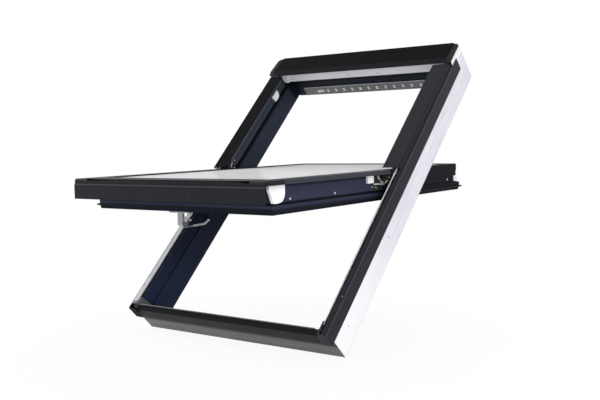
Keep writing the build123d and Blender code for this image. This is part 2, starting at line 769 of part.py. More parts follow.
# Black rubber plugs that drain the glazing, at both ends of that recess
with BuildPart() as drain_plugs:
    for side in (-1, 1):
        extrude(outline(along(sash_seat, side * (recess_half - 0.3)), [
            (nose_out + 0.5, recess_level), (recess_at, recess_level),
            (recess_at, cover_top - 2.6), (recess_at - 1.5, cover_top - 1.5),
            (nose_out + 0.5, cover_top - 3),
        ]), amount=-side * drain_width)

side_cover_start = sash_foot + lap + 0.6
with BuildPart() as sash_cover_right:
    extrude(folded(across(sash_seat, side_cover_start), [
        (cover_out, -0.8), (cover_out, cover_top), (sash_half - lap, cover_top),
    ]), amount=-(pivot_up - side_cover_end - side_cover_start))
sash_cover_left = left_of(sash_cover_right)

trim_start = pivot_up - side_cover_end + 0.6
trim_fold = [
    (sash_step + cover_sheet, -12), (sash_step + cover_sheet, cover_top - trim_bevel),
    (sash_step + cover_sheet - trim_bevel, cover_top),
]
with BuildPart() as sash_trim_right:
    extrude(folded(along(sash_seat, sash_half - lap), [*trim_fold, (trim_start, cover_top)]),
            amount=lap + 1)
sash_trim_left = left_of(sash_trim_right)
with BuildPart() as sash_trim_head:
    trim_half = sash_half - lap - 0.6
    extrude(folded(along(sash_seat, 0), [*trim_fold, (sash_step - lap, cover_top)]),
            amount=trim_half, both=True)

# White corner plugs that carry the cladding, and end blocks at the head
plug_thick = side_member - (half_width - sash_half - sash_side_gap) + sash_side_gap - 1.0
with BuildPart() as corner_plug_right:
    with BuildSketch(along(sash_seat, sash_half)):
        with BuildLine():
            Polyline((sash_foot + 44.4, -20.9), (sash_foot + 44.4, -2), (sash_foot - 23, -2),
                     (sash_foot - 23, -13), (sash_foot - 6, -47), (sash_foot - 6, -49.5),
                     (sash_foot + 5, -50.7), (sash_foot + 27.7, -48.3))
            RadiusArc((sash_foot + 27.7, -48.3), (sash_foot + 44.4, -20.9), -30)
        make_face()
    extrude(amount=plug_thick)
corner_plug_left = left_of(corner_plug_right)

with BuildPart() as end_block_right:
    with Locations(at(sash_seat, sash_half + end_block_sheet / 2,
                      sash_step + 2 - end_block_length / 2,
                      sash_groove_out + end_block_height / 2)):
        Box(end_block_sheet, end_block_length, end_block_height)
    # foot that turns round the end of the rail
    with Locations(at(sash_seat, sash_half - 6 + end_block_sheet / 2, sash_step + 3.5,
                      sash_groove_out + end_block_height / 4)):
        Box(12 + end_block_sheet, 7, end_block_height / 2)
end_block_left = left_of(end_block_right)

# Sash half of the hinge: two shoes that clasp the arc rail, and a nylon guide
shoe_angle = hinge_shoe_reach
shoe_depth = rail_foot - 1.0 - sash_half - hinge_plate
with BuildPart() as sash_hinge_right:
    with Locations(at(sash_seat, sash_half + hinge_plate / 2, pivot_up, -30)):
        Box(hinge_plate, 2 * hinge_half_length + 20, 40)
    extrude(arc_band(sash_seat, sash_half + hinge_plate, hinge_radius - hinge_clearance
                     - hinge_shoe, hinge_shoe, shoe_angle), amount=shoe_depth)
    extrude(arc_band(sash_seat, sash_half + hinge_plate, hinge_radius + hinge_rail
                     + hinge_clearance, hinge_shoe, shoe_angle), amount=shoe_depth)
    for spot in (-1, 1):
        cut_bore(facing_side(sash_seat, sash_half, pivot_up + spot * sash_hinge_spread,
                             sash_hinge_out), screw_shank / 2, 12)
sash_hinge_left = left_of(sash_hinge_right)

guide_length = 34.0
guide_height = 22.0
guide_sheet = 6.5
guide_at = pivot_up - hinge_half_length - 10 - guide_length / 2
with BuildPart() as hinge_guide_right:
    with Locations(at(sash_seat, sash_half + guide_sheet / 2, guide_at - 0.5, -14)):
        Box(guide_sheet, guide_length, guide_height)
hinge_guide_left = left_of(hinge_guide_right)

with BuildPart() as sash_screws:
    for side in (-1, 1):
        for spot in (-1, 1):
            side_screw(sash_seat, side * (sash_half + hinge_plate),
                       pivot_up + spot * sash_hinge_spread, sash_hinge_out,
                       hinge_plate + 5, side)
        for spot in side_screw_spots:
            side_screw(sash_seat, side * sash_half, spot, side_screw_out, 5.5, side)
        # the handle's screws
        screw(at(sash_seat, handle_at + side * (rosette_length / 2 - 8), handle_s,
                 sash_bottom - rosette_height) * Location((0, 0, 0), (180, 0, 0)),
              rosette_height + 5)

# Fin seal round the sash
fin_out = 8.0
fin_foot = 4.0
fin_head = 3.0
fin_tip = 5.0
fin_low = sash_bottom + 10.0
with BuildPart() as sash_fin:
    fin_length = sash_end - sash_foot
    fin_middle = (sash_end + sash_foot) / 2
    fin_across = 2 * (sash_half + fin_out)
    fin_along = fin_length + fin_foot + fin_head
    fin_centre = fin_middle + (fin_head - fin_foot) / 2
    with Locations(at(sash_seat, 0, fin_centre, fin_low + fin_tip / 2)):
        Box(fin_across, fin_along, fin_tip)
    cut_box(sash_seat, 0, fin_centre, fin_low + fin_tip / 2 + 1.25, fin_across - 5,
            fin_along - 2, fin_tip - 2.5)
    cut_box(sash_seat, 0, fin_middle, fin_low + fin_tip / 2, 2 * sash_half, fin_length, fin_tip)

# Handle with its rosette and spindle, and the bolt that it throws
with BuildPart() as handle_rosette:
    with Locations(at(sash_seat, handle_at, handle_s, sash_bottom - rosette_height / 2)):
        Box(rosette_length, rosette_width, rosette_height)
    cut_bore(at(sash_seat, handle_at, handle_s, sash_bottom - rosette_height / 2),
             spindle + 0.1, rosette_height)
    for end in (-1, 1):
        cut_bore(at(sash_seat, handle_at + end * (rosette_length / 2 - 8), handle_s,
                    sash_bottom - rosette_height / 2), screw_shank / 2, rosette_height)
    # catch for the latch spring
    catch_at = handle_at + 33.0
    catch_low = sash_bottom - rosette_height
    extrude(outline(across(sash_seat, handle_s + rosette_width / 2 - 0.5), [
        (catch_at - 6, catch_low), (catch_at - 1, catch_low - 9), (catch_at + 1, catch_low - 9),
        (catch_at + 4.5, catch_low),
    ]), amount=3.5)

rosette_low = sash_bottom - rosette_height - 0.3
grip_low = sash_bottom - handle_drop
with BuildPart() as handle_lever:
    with Locations(at(sash_seat, handle_at, handle_s, rosette_low + 6.3)):
        Cylinder(spindle, 15)
    with Locations(at(sash_seat, handle_at, handle_s, (rosette_low + grip_low) / 2)):
        Box(handle_neck, 9, rosette_low - grip_low)
    # hub at the foot of the neck, and the grip that leaves it
    with Locations(at(sash_seat, handle_at + handle_neck, handle_s, grip_low + 3)
                   * Location((0, 0, 0), (90, 0, 0))):
        Cylinder(9, 7)
    with BuildLine(across(sash_seat, handle_s)) as grip_path:
        FilletPolyline((handle_at + handle_neck, grip_low), (handle_at + 34, grip_low - 1),
                       (handle_at + lever_length - 16, grip_low + 9),
                       (handle_at + lever_length, grip_low + 21), radius=8)
    with BuildSketch(Plane(origin=grip_path.line @ 0, z_dir=grip_path.line % 0)):
        RegularPolygon(lever_radius, 8)
    sweep(path=grip_path.line)
    # latch spring that curls from the neck to a small knob
    loop_end = (handle_at + 37, rosette_low - 19.7)
    with BuildLine(across(sash_seat, handle_s)) as loop_path:
        ThreePointArc((handle_at + handle_neck / 2 - 1, rosette_low - 4.7),
                      (handle_at + 23, rosette_low - 17.2), loop_end)
    with BuildSketch(Plane(origin=loop_path.line @ 0, z_dir=loop_path.line % 0)):
        RegularPolygon(latch_radius, 6)
    sweep(path=loop_path.line)
    with Locations(at(sash_seat, loop_end[0], handle_s, loop_end[1])
                   * Location((0, 0, 0), (90, 0, 0))):
        Cylinder(2 * latch_radius, 5)
with BuildPart() as lock_bolt:
    with Locations(at(sash_seat, handle_at, sash_foot + 0.5 + bolt_length / 2, bolt_middle)):
        Box(bolt_width, bolt_length, bolt_height)

pieces = {
    "frame_side_left": frame_side_left, "frame_side_right": frame_side_right,
    "frame_sill": frame_sill, "frame_head": frame_head,
    "side_seal_left": side_seal_left, "side_seal_right": side_seal_right,
    "head_strip": head_strip, "vent_grille": vent_grille, "vent_shutter": vent_shutter,
    "stop_block_left": stop_block_left, "stop_block_right": stop_block_right,
    "side_cover_left": side_cover_left, "side_cover_right": side_cover_right,
    "upper_cover_left": upper_cover_left, "upper_cover_right": upper_cover_right,
    "cover_carrier_left": cover_carrier_left, "cover_carrier_right": cover_carrier_right,
    "hood_block_left": hood_block_left, "hood_block_right": hood_block_right,
    "hood": hood, "hood_cap_left": hood_cap_left, "hood_cap_right": hood_cap_right,
    "sill_cover": sill_cover, "sill_seal": sill_seal, "keeper_plate": keeper_plate,
    "corner_seal_left": corner_seal_left, "corner_seal_right": corner_seal_right,
    "frame_hinge_left": frame_hinge_left, "frame_hinge_right": frame_hinge_right,
    "frame_screws": frame_screws,
    "sash_side_left": sash_side_left, "sash_side_right": sash_side_right,
    "sash_sill": sash_sill, "sash_head": sash_head,
    "outer_pane": outer_pane, "inner_pane": inner_pane, "pane_spacer": pane_spacer,
    "glass_bedding": glass_bedding, "glazing_seal": glazing_seal,
    "sash_cladding": sash_cladding, "drain_plugs": drain_plugs,
    "sash_cover_left": sash_cover_left, "sash_cover_right": sash_cover_right, "sash_trim_left": sash_trim_left,
    "sash_trim_right": sash_trim_right, "sash_trim_head": sash_trim_head,
    "corner_plug_left": corner_plug_left, "corner_plug_right": corner_plug_right,
    "end_block_left": end_block_left, "end_block_right": end_block_right,
    "sash_hinge_left": sash_hinge_left, "sash_hinge_right": sash_hinge_right,
    "hinge_guide_left": hinge_guide_left, "hinge_guide_right": hinge_guide_right,
    "sash_screws": sash_screws,
    "sash_fin": sash_fin, "handle_rosette": handle_rosette, "handle_lever": handle_lever,
    "lock_bolt": lock_bolt,
}
os.makedirs("parts", exist_ok=True)
for name, piece in pieces.items():
    piece.part.label = name
    export_step(piece.part, f"parts/{name}.step")
print(len(pieces), "pieces")
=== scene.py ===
# %% [markdown]
# # Dressing a centre-pivot roof window
# The real object is a plastic-framed roof window with dark sheet covers, its sash tilted half
# open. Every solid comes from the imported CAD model, in metres, and stays where it is. This lesson
# gives each of them its finish, adds the small things that CAD leaves out, and sets up the light
# and the camera.

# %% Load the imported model
from math import cos, pi, radians, sin, sqrt

import bmesh
import bpy
from mathutils import Matrix, Vector


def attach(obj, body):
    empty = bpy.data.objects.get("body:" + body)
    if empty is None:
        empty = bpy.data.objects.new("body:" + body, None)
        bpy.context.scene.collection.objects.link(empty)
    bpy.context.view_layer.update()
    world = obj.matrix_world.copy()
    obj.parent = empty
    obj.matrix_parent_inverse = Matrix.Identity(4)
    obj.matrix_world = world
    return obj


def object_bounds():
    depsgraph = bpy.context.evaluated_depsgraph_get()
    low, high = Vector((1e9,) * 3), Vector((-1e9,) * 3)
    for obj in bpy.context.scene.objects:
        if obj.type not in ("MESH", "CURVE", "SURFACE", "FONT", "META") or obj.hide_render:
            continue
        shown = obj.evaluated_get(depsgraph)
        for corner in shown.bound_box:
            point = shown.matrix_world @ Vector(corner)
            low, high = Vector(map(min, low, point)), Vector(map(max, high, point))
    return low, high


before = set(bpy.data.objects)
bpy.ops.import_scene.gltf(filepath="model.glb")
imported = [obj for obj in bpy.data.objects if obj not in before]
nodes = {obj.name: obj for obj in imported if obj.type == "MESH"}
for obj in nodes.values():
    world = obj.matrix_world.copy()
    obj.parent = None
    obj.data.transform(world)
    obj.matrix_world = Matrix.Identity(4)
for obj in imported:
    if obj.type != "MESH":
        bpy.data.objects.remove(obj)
cad_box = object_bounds()

# %% [markdown]
# ## Places on the window
# A maker measures a roof window in its own plane: x across it, s up the slope and n outward. A
# screw could be placed by coordinates of the scene, but no such number would match the drawing.
# So two small helpers turn places in the window's plane, in millimetres, into points of the scene.
# The window leans at 45 degrees, and the sash is turned 44.3 degrees about the pivot.

# %% Window plane and sash plane
MM = 1000  # millimetres in a metre
ROOF_PITCH = radians(45)
SASH_OPEN = radians(44.3)
SILL_MIDDLE, FRAME_DEPTH = 25.0, 131.0
PIVOT_S, PIVOT_N = 600.0, 30.0


def on_frame(x, s, n):
    """Point of the fixed frame, millimetres in its own plane, as a point of the scene."""
    up, out = s - SILL_MIDDLE, n + FRAME_DEPTH
    return Vector((x, up * cos(ROOF_PITCH) - out * sin(ROOF_PITCH),
                   up * sin(ROOF_PITCH) + out * cos(ROOF_PITCH))) / MM


def on_sash(x, s, n):
    """Point of the sash, given where it lies with the window closed."""
    up, out = s - PIVOT_S, n - PIVOT_N
    return on_frame(x, PIVOT_S + up * cos(SASH_OPEN) + out * sin(SASH_OPEN),
                    PIVOT_N - up * sin(SASH_OPEN) + out * cos(SASH_OPEN))


print("pivot axis at", tuple(round(v, 4) for v in on_frame(0, PIVOT_S, PIVOT_N)))

# %% [markdown]
# ## Camera first
# The photograph was taken with a long lens from the lower right of the window, a little above the
# level of the tilted glass. The view could be found by trying, but straight edges of the frame,
# whose lengths are known, fix the lens, the camera's place and what is right and down in the
# picture. The camera comes first, because every finish is judged through it.

# %% Camera
IMAGE_WIDTH = 600
FOCAL_PIXELS = 853.59
SENSOR_WIDTH = 36.0
CAMERA_PLACE = (1.7069, -2.0039, 0.5860)
CAMERA_RIGHT = Vector((0.80485, 0.59322, -0.01742))
CAMERA_DOWN = Vector((0.02459, -0.06266, -0.99773))

camera_data = bpy.data.cameras.new("view_camera")
camera_data.sensor_width = SENSOR_WIDTH
camera_data.lens = FOCAL_PIXELS * SENSOR_WIDTH / IMAGE_WIDTH
camera = bpy.data.objects.new("view_camera", camera_data)
bpy.context.scene.collection.objects.link(camera)
backward = CAMERA_RIGHT.cross(-CAMERA_DOWN).normalized()
upward = backward.cross(CAMERA_RIGHT).normalized()
turn = Matrix((CAMERA_RIGHT.normalized(), upward, backward)).transposed()
camera.matrix_world = Matrix.Translation(CAMERA_PLACE) @ turn.to_4x4()
bpy.context.scene.camera = camera
print("lens", round(camera_data.lens, 2), "mm")

# %% [markdown]
# ## Shader maths as plain Python
# A finish is a sum of patterns: grain, speckle, dust in a fold. It could be wired up link by link,
# but such a script is hard to read. So a small class wraps a node's output and lets Python's own
# signs add the Math nodes. Any other kind of node comes from one method, which first applies
# settings and then fills the sockets.

# %% Node outputs that can be added and multiplied
class Term:
    """The output of a node in a finish, or the empty start of one."""

    def __init__(self, tree, socket=None):
        self.tree, self.socket = tree, socket

    def node(self, kind, settings=None, sockets=None, out=0):
        """Add a node: its settings, then values or links for its sockets; gives one output."""
        made = self.tree.nodes.new(kind)
        for key, value in (settings or {}).items():
            setattr(made, key, value)
        for key, value in (sockets or {}).items():
            if isinstance(value, Term):
                self.tree.links.new(value.socket, made.inputs[key])
            else:
                made.inputs[key].default_value = value
        return Term(self.tree, made.outputs[out])

    def maths(self, operation, *values):
        """One Math node on numbers or terms."""
        return self.node("ShaderNodeMath", {"operation": operation}, dict(enumerate(values)))

    def __add__(self, other):
        return self.maths("ADD", self, other)

    __radd__ = __add__

    def __mul__(self, other):
        return self.maths("MULTIPLY", self, other)

    __rmul__ = __mul__

    def __sub__(self, other):
        return self.maths("SUBTRACT", self, other)

    def __rsub__(self, other):
        return self.maths("SUBTRACT", other, self)

    def __gt__(self, other):
        return self.maths("GREATER_THAN", self, other)

    def __lt__(self, other):
        return self.maths("LESS_THAN", self, other)

    def __abs__(self):
        return self.maths("ABSOLUTE", self)


print("signs that add a node:", "+ - * > < abs")

# %% [markdown]
# ## Place and noise
# Every finish starts from the place on the piece and a soft noise. The place could come from an
# unwrapped mesh, but CAD meshes aren't unwrapped, so it is taken in metres from the piece itself,
# and a pattern turns with the sash. Grain along a member is the same noise, stretched in the
# window's own plane.

# %% Place and noise
def object_place(start):
    """Where a point lies on its own piece, in metres; it moves with the piece."""
    return start.node("ShaderNodeTexCoord", out="Object")


def part(vector, letter):
    """One of the three numbers of a vector."""
    return vector.node("ShaderNodeSeparateXYZ", sockets={0: vector}, out=letter)


def stretched(start, x, y, z, turned=ROOF_PITCH):
    """The place, turned into the window's plane and scaled, so grain can run along a member."""
    return start.node("ShaderNodeMapping", {"vector_type": "TEXTURE"},
                      {"Vector": object_place(start), "Rotation": (turned, 0, 0),
                       "Scale": (1 / x, 1 / y, 1 / z)})


def speckle(start, scale, detail=3.0, roughness=0.5, where=None):
    """Soft noise from 0 to 1."""
    return start.node("ShaderNodeTexNoise", sockets={
        "Vector": where or object_place(start), "Scale": scale, "Detail": detail,
        "Roughness": roughness}, out="Fac")


def ramp(value, low, high):
    """0 below low, 1 above high and an even rise between; low may be the larger one."""
    return value.node("ShaderNodeMapRange", {"clamp": True},
                      {"Value": value, "From Min": low, "From Max": high}, out="Result")


print("speckle of scale 900 has grains of", round(MM / 900, 1), "mm")

# %% [markdown]
# ## Colours
# A tone is read from a picture as three numbers from 0 to 255, but a shader adds up light, so each
# tone is first turned into linear numbers. Two colours are then mixed by a noise, or a plain tone
# is laid over a colour where a mask is 1. Math nodes would turn colours grey, so this is the work
# of Mix nodes.

# %% Colours
def from_srgb(red, green, blue):
    """A colour as a picture shows it, 0 to 255, as the linear colour that a shader needs."""
    def one(value):
        value /= 255
        return value / 12.92 if value <= 0.04045 else ((value + 0.055) / 1.055) ** 2.4
    return one(red), one(green), one(blue)


def between(amount, low, high):
    """A colour between two linear colours."""
    return amount.node("ShaderNodeMix", {"data_type": "RGBA"},
                       {"Factor": amount, "A": (*low, 1.0), "B": (*high, 1.0)}, out="Result")


def between_tones(amount, low, high):
    """The same for two tones as a picture shows them."""
    return between(amount, from_srgb(*low), from_srgb(*high))


def over(amount, under, top):
    """One colour output laid over another where the mask is 1."""
    return under.node("ShaderNodeMix", {"data_type": "RGBA"},
                      {"Factor": amount, "A": under, "B": top}, out="Result")


def painted(colour, *coats):
    """Plain tones laid over a colour, one after the other, each where its mask is 1."""
    for mask, tone in coats:
        plain = colour.node("ShaderNodeCombineColor", sockets=dict(enumerate(from_srgb(*tone))))
        colour = over(mask, colour, plain)
    return colour


print("tone 30, 31, 36 as light:", [round(v, 4) for v in from_srgb(30, 31, 36)])

# %% [markdown]
# ## From paint to material
# A paint is a function that returns what feeds the sockets of the surface shader, by name. One
# function turns any paint into a material. Numbers that are the same all over are set on the
# shader itself, so an export keeps them.

# %% Material from a paint
def bump(height, distance):
    """A Normal from a height pattern; distance is the height in metres."""
    return height.node("ShaderNodeBump", sockets={"Height": height, "Distance": distance})


def finish(name, paint, **same_all_over):
    """A material: numbers that are the same all over, and sockets that a pattern feeds."""
    material = bpy.data.materials.new(name)
    material.use_nodes = True
    tree = material.node_tree
    shader = tree.nodes["Principled BSDF"]
    for socket, value in same_all_over.items():
        shader.inputs[socket.replace("_", " ")].default_value = value
    for socket, term in paint(Term(tree)).items():
        tree.links.new(term.socket, shader.inputs[socket])
    return material


print("materials before the first finish:", len(bpy.data.materials))

# %% [markdown]
# ## Where on the window a pattern lies
# The real window changes colour at places, not at pieces: the foil ends at an edge, the recess is
# black at its ends, the hole walls are pale. Each place could be a face with a material of its
# own, but the CAD meshes are never changed. So the point being shaded is turned back into the
# drawing's own x, s and n, in metres, on the frame or on the closed sash. A band on those numbers
# then draws every edge.

# %% Places on the frame and on the sash, as patterns
HALF_ROOT = sqrt(0.5)  # cosine and sine of the roof's pitch


def frame_place(start):
    """x across, and the window's own s and n, of a point on a fixed piece, in metres."""
    place = object_place(start)
    x, y, z = (part(place, letter) for letter in "XYZ")
    s = (y + z) * HALF_ROOT + SILL_MIDDLE / MM
    n = (z - y) * HALF_ROOT - FRAME_DEPTH / MM
    return x, s, n


def sash_place(start):
    """The same for a piece of the sash, as it would lie with the window closed."""
    x, s, n = frame_place(start)
    up, out = s - PIVOT_S / MM, n - PIVOT_N / MM
    return (x, up * cos(SASH_OPEN) - out * sin(SASH_OPEN) + PIVOT_S / MM,
            up * sin(SASH_OPEN) + out * cos(SASH_OPEN) + PIVOT_N / MM)


def band(value, low, high):
    """1 between two values, 0 outside."""
    return (value > low) * (value < high)


def either(mask, *others):
    """The largest of several masks."""
    for other in others:
        mask = mask.maths("MAXIMUM", mask, other)
    return mask


print("pivot as a pattern sees it: s", PIVOT_S / MM, "n", PIVOT_N / MM)

# %% [markdown]
# ## Charcoal coated sheet
# The outer covers are folded aluminium with a matt charcoal coating. Up close the coating has a
# fine orange-peel texture and a little dust, and its gloss drifts over a hand's width. A single
# dark colour would look like painted card, so a fine bump and a slow drift of colour and roughness
# are added.

# %% Coated sheet
PEEL_HEIGHT = 0.00006
DUSTY_ABOVE, DUST_STRENGTH = 0.62, 0.4


def coated_sheet(dark, light, dust_tone, marks):
    """Paint for sheet: two tones of the coating, the dust on it, and what its folds show."""
    def paint(start):
        drift = speckle(start, 9.0, 2.0)
        peel = speckle(start, 900.0, 2.0)
        dust = speckle(start, 60.0, 6.0, 0.7)
        clean_and_lit = between_tones(drift, dark, light)
        dusty = between_tones(dust, light, dust_tone)
        colour = over((dust > DUSTY_ABOVE) * DUST_STRENGTH, clean_and_lit, dusty)
        return {"Base Color": marks(start, colour), "Roughness": 0.42 + 0.14 * drift,
                "Normal": bump(peel, PEEL_HEIGHT)}
    return paint


print("orange peel", PEEL_HEIGHT * MM, "mm high")

# %% [markdown]
# ## What the folds of the fixed covers show
# The folds show painted light and shade: a paler line where the outer fold of a cover catches
# light, the dark lines that a rolled edge and a step throw, and a lip that catches light. These are
# thinner than a pixel or two, so cutting them into the sheet would add many faces for little. They
# are painted as bands along the fold instead. Each line gives the tone, and the factor before it
# says how strongly it covers.

# %% Marks of the fixed covers
OUTER_FOLD_N = (-0.0078, -0.0056)
FLANGE_X = 0.3885
SILL_ROLL_N, SILL_STEP_SHADE_N = (-0.0068, -0.0004), (-0.0435, -0.0385)
SILL_HEM_N = -0.0500
HOOD_LIP_S = 1.1045


def cover_marks(start, colour):
    """A painted highlight: a paler line along the outer fold."""
    x, _, n = frame_place(start)
    fold = band(n, *OUTER_FOLD_N) * (abs(x) > FLANGE_X)
    # Painted highlight along the outer fold.
    return painted(colour, (fold * 0.75, (92, 93, 100)))


def sill_marks(start, colour):
    """Painted highlight on top, painted shade under the roll and above the hem, a paler hem."""
    _, _, n = frame_place(start)
    lines = band(n, *SILL_ROLL_N) + band(n, *SILL_STEP_SHADE_N)
    # Painted highlight on the top edge, and painted shade in two dark lines.
    return painted(colour, ((n > 0.0) * 0.8, (120, 121, 124)), (lines * 0.85, (3, 4, 5)),
                   ((n < SILL_HEM_N) * 0.7, (52, 53, 57)))


def hood_marks(start, colour):
    """The hood's front lip catches more light than its top."""
    _, s, _ = frame_place(start)
    return painted(colour, ((s < HOOD_LIP_S) * 0.5, (38, 40, 44)))


print("painted fold highlight", round((OUTER_FOLD_N[1] - OUTER_FOLD_N[0]) * MM, 1), "mm wide")

# %% [markdown]
# ## What the sash's covers show
# The lower cover of the sash has a long recess, painted nearly black with shade at its two ends,
# where the rubber plugs close it. A lamp can't make that without darkening the rest, so the shade
# deepens by place. Along the front the hem is a paler band, a dark line under the fold is painted
# shade, and another dark line runs along the top. The side faces are painted paler, as painted
# light.

# %% Marks of the sash's covers
RECESS_S, RECESS_FLOOR_N, RECESS_HALF = (-0.0285, -0.0205), 0.0062, 0.3155
RECESS_SHADE_X = (0.22, 0.3)
HEM_N, FOLD_SHADE_N, TOP_DARK_LINE_N = (-0.0078, -0.0030), (-0.0108, -0.0082), (0.0002, 0.0026)
SIDE_FACE_X, SIDE_FACE_N, SIDE_FACE_S = 0.3676, -0.0005, 0.05


def cladding_marks(start, colour):
    """Painted shade in the recess and under the fold; paler hem, dark top line, lit side faces."""
    x, s, n = sash_place(start)
    recess = (n > RECESS_FLOOR_N) * band(s, *RECESS_S) * (abs(x) < RECESS_HALF)
    front = s < 0.0
    hem = band(n, *HEM_N) * front
    # The lower dark line is painted shade under the fold; the upper one is a dark line at the top.
    dark_lines = (band(n, *FOLD_SHADE_N) + band(n, *TOP_DARK_LINE_N)) * front
    # The side faces are painted paler, as painted light.
    side = (abs(x) > SIDE_FACE_X) * (n > SIDE_FACE_N) * (s > SIDE_FACE_S)
    return painted(colour, (recess * ramp(abs(x), *RECESS_SHADE_X), (2, 2, 3)),
                   (hem * 0.35, (62, 63, 66)), (dark_lines * 0.6, (4, 4, 6)),
                   (side * 0.55, (66, 69, 79)))


print("recess", round(2 * RECESS_HALF * MM), "mm long")

# %% [markdown]
# ## Five coats
# All covers are coated alike, but the hood and the left covers stand in shade in the photograph.
# More lamps or a screen would spoil the even light on the rest. So each group of covers has its own
# tones, dust and faint sheen, and the darker tones of the hood and left covers are painted shade.

# %% The coats of the covers
COATS = {
    # name: darker tone, lighter tone, dust, marks, sheen
    # The hood's very dark tones are painted shade.
    "hood": ((3, 3, 4), (7, 7, 8), (32, 33, 36), hood_marks, 0.03),
    "covers": ((26, 27, 33), (36, 37, 43), (58, 59, 64), cover_marks, 0.10),
    # The left covers' darker tones are painted shade.
    "shaded_left_covers": ((8, 8, 11), (13, 13, 17), (44, 45, 50), cover_marks, 0.03),
    "sash": ((20, 21, 26), (29, 30, 35), (52, 53, 58), cladding_marks, 0.10),
    "sill": ((7, 8, 10), (13, 14, 17), (42, 43, 46), sill_marks, 0.10),
}
coats = {name: finish(f"charcoal_coat_{name}", coated_sheet(*look), Specular_IOR_Level=sheen)
         for name, (*look, sheen) in COATS.items()}
print("coats", len(coats))

# %% [markdown]
# ## Foil and white plastic
# The frame and sash are white extruded plastic, wrapped with a blue-black embossed foil wherever
# the room or the tilted sash shows them. Two thin shells could stand for the two, but the real foil
# has no thickness that shows. So both are patterns of one material: the foil with a faint grain
# along the member, the white with only a soft unevenness.

# %% Foil and white plastic
GRAIN_ALONG = {"x": (60, 900, 900), "s": (900, 60, 900)}
FOIL_TONES = (19, 24, 38), (35, 42, 62)
WHITE_TONES = (209, 209, 220), (233, 233, 240)
EMBOSSING = 0.00008


def foil_parts(start, along):
    """Colour, roughness and height of the embossed foil; along is the direction of its grain."""
    grain = speckle(start, 1.0, 5.0, 0.6, stretched(start, *GRAIN_ALONG[along]))
    drift = speckle(start, 5.0, 2.0)
    colour = between_tones(0.5 * grain + 0.5 * drift, *FOIL_TONES)
    return colour, 0.45 + 0.2 * grain, grain


def white_parts(start):
    """The same three for the white plastic, which flows a little along the member."""
    drift = speckle(start, 6.0, 2.0)
    flow = speckle(start, 1.0, 3.0, 0.5, stretched(start, 300, 6, 300))
    colour = between_tones(ramp(0.4 * drift + 0.6 * flow, 0.35, 0.65), *WHITE_TONES)
    return colour, 0.3 + 0.12 * flow, flow


print("embossing", EMBOSSING * MM, "mm high")

# %% [markdown]
# ## Light and shade on the foil
# In the photograph the foil is black just below the white strip, dim beside the sash, and pale on
# the far left above the sash, where its step and its sealing groove read as three stripes. Those
# mouldings could be cut in CAD, but they are finer than that model, so the stripes are laid on by
# place, and a later one covers an earlier one.

# %% Light and shade on the foil
STRIP_FACE_S = 1104.0
BELOW_STRIP_N, DEEPEST_N = -0.0325, -0.066
FAR_FOOT_S, FAR_HEAD_S = 0.62, 1.10
FAR_GROOVE_N, FAR_STEP_N, FAR_EDGE_N = (-0.0595, -0.0435), (-0.0435, -0.0215), (-0.0215, -0.006)
BESIDE_SASH_S, FOOT_S = (0.2, 0.5), (0.3, 0.05)


def foil_in_light(start, colour):
    """The foil's colour with the light and shade of its place on the frame."""
    x, s, n = frame_place(start)
    below_strip = (s > STRIP_FACE_S / MM) * (n < BELOW_STRIP_N)
    far = band(s, FAR_FOOT_S, FAR_HEAD_S) * (x < 0)
    beside_sash = ramp(s, *BESIDE_SASH_S) * (s < FAR_FOOT_S)
    return painted(colour, (below_strip * 0.5, (8, 12, 20)),
                   (below_strip * (n > DEEPEST_N) * 0.85, (2, 3, 6)),
                   (far * 0.45, (56, 61, 74)),
                   (far * band(n, *FAR_STEP_N) * 0.45, (70, 77, 92)),
                   (far * band(n, *FAR_EDGE_N), (84, 87, 96)),
                   (far * band(n, *FAR_GROOVE_N) * 0.9, (6, 9, 14)),
                   (beside_sash * 0.45, (8, 13, 24)),
                   (ramp(s, *FOOT_S) * 0.35, (44, 55, 88)))


print("far stripes", [round((high - low) * MM) for low, high in
                      (FAR_GROOVE_N, FAR_STEP_N, FAR_EDGE_N)], "mm")

# %% [markdown]
# ## Where the foil ends
# On the real members the foil stops at a machined edge: near the outer arris of a side member,
# behind the strip on the head, at the front face of the sill. It also covers the room side. An
# image could be painted for each member, but a mask by place is as sharp as the real edge.

# %% Masks of the foil
FOIL_EDGE_X = 0.3616
FOIL_EDGE_HEAD, FOIL_EDGE_SILL = 1.1502, 0.0004
FOIL_ROOM_N = -0.1306


def side_foil(start):
    """1 on the inner faces and the room side of a side member."""
    x, _, n = frame_place(start)
    return either(abs(x) < FOIL_EDGE_X, n < FOIL_ROOM_N)


def head_foil(start):
    """1 on the inner faces and the room side of the head."""
    _, s, n = frame_place(start)
    return either(s < FOIL_EDGE_HEAD, n < FOIL_ROOM_N)


def sill_foil(start):
    """1 on the inner faces and the room side of the sill."""
    _, s, n = frame_place(start)
    return either(s > FOIL_EDGE_SILL, n < FOIL_ROOM_N)


print("foil ends", round(390 - FOIL_EDGE_X * MM, 1), "mm inside the frame's side")

# %% [markdown]
# ## What the white shows
# The bevel beside the right cover is painted brighter, and a thin black line along it is painted
# shadow in the gap to the cover. The left bevel is a streaked grey of painted shade, and the foot
# is painted lighter. The outer face of the sill is a grey with drawn lines, with painted shadow
# just below its cover. Like the folds, these are bands of colour and leave the shape alone.

# %% Marks of the white plastic
BEVEL_N = -0.012
GAP_SHADOW_X, GAP_SHADOW_N = (0.3702, 0.3812), -0.004
LIT_FOOT_S = (0.5, 0.05)
SHADED_BEVEL_TONES = (158, 162, 168), (226, 229, 236)
SILL_TONES = (78, 79, 81), (122, 123, 126)
SILL_COVER_SHADOW_N = -0.0825


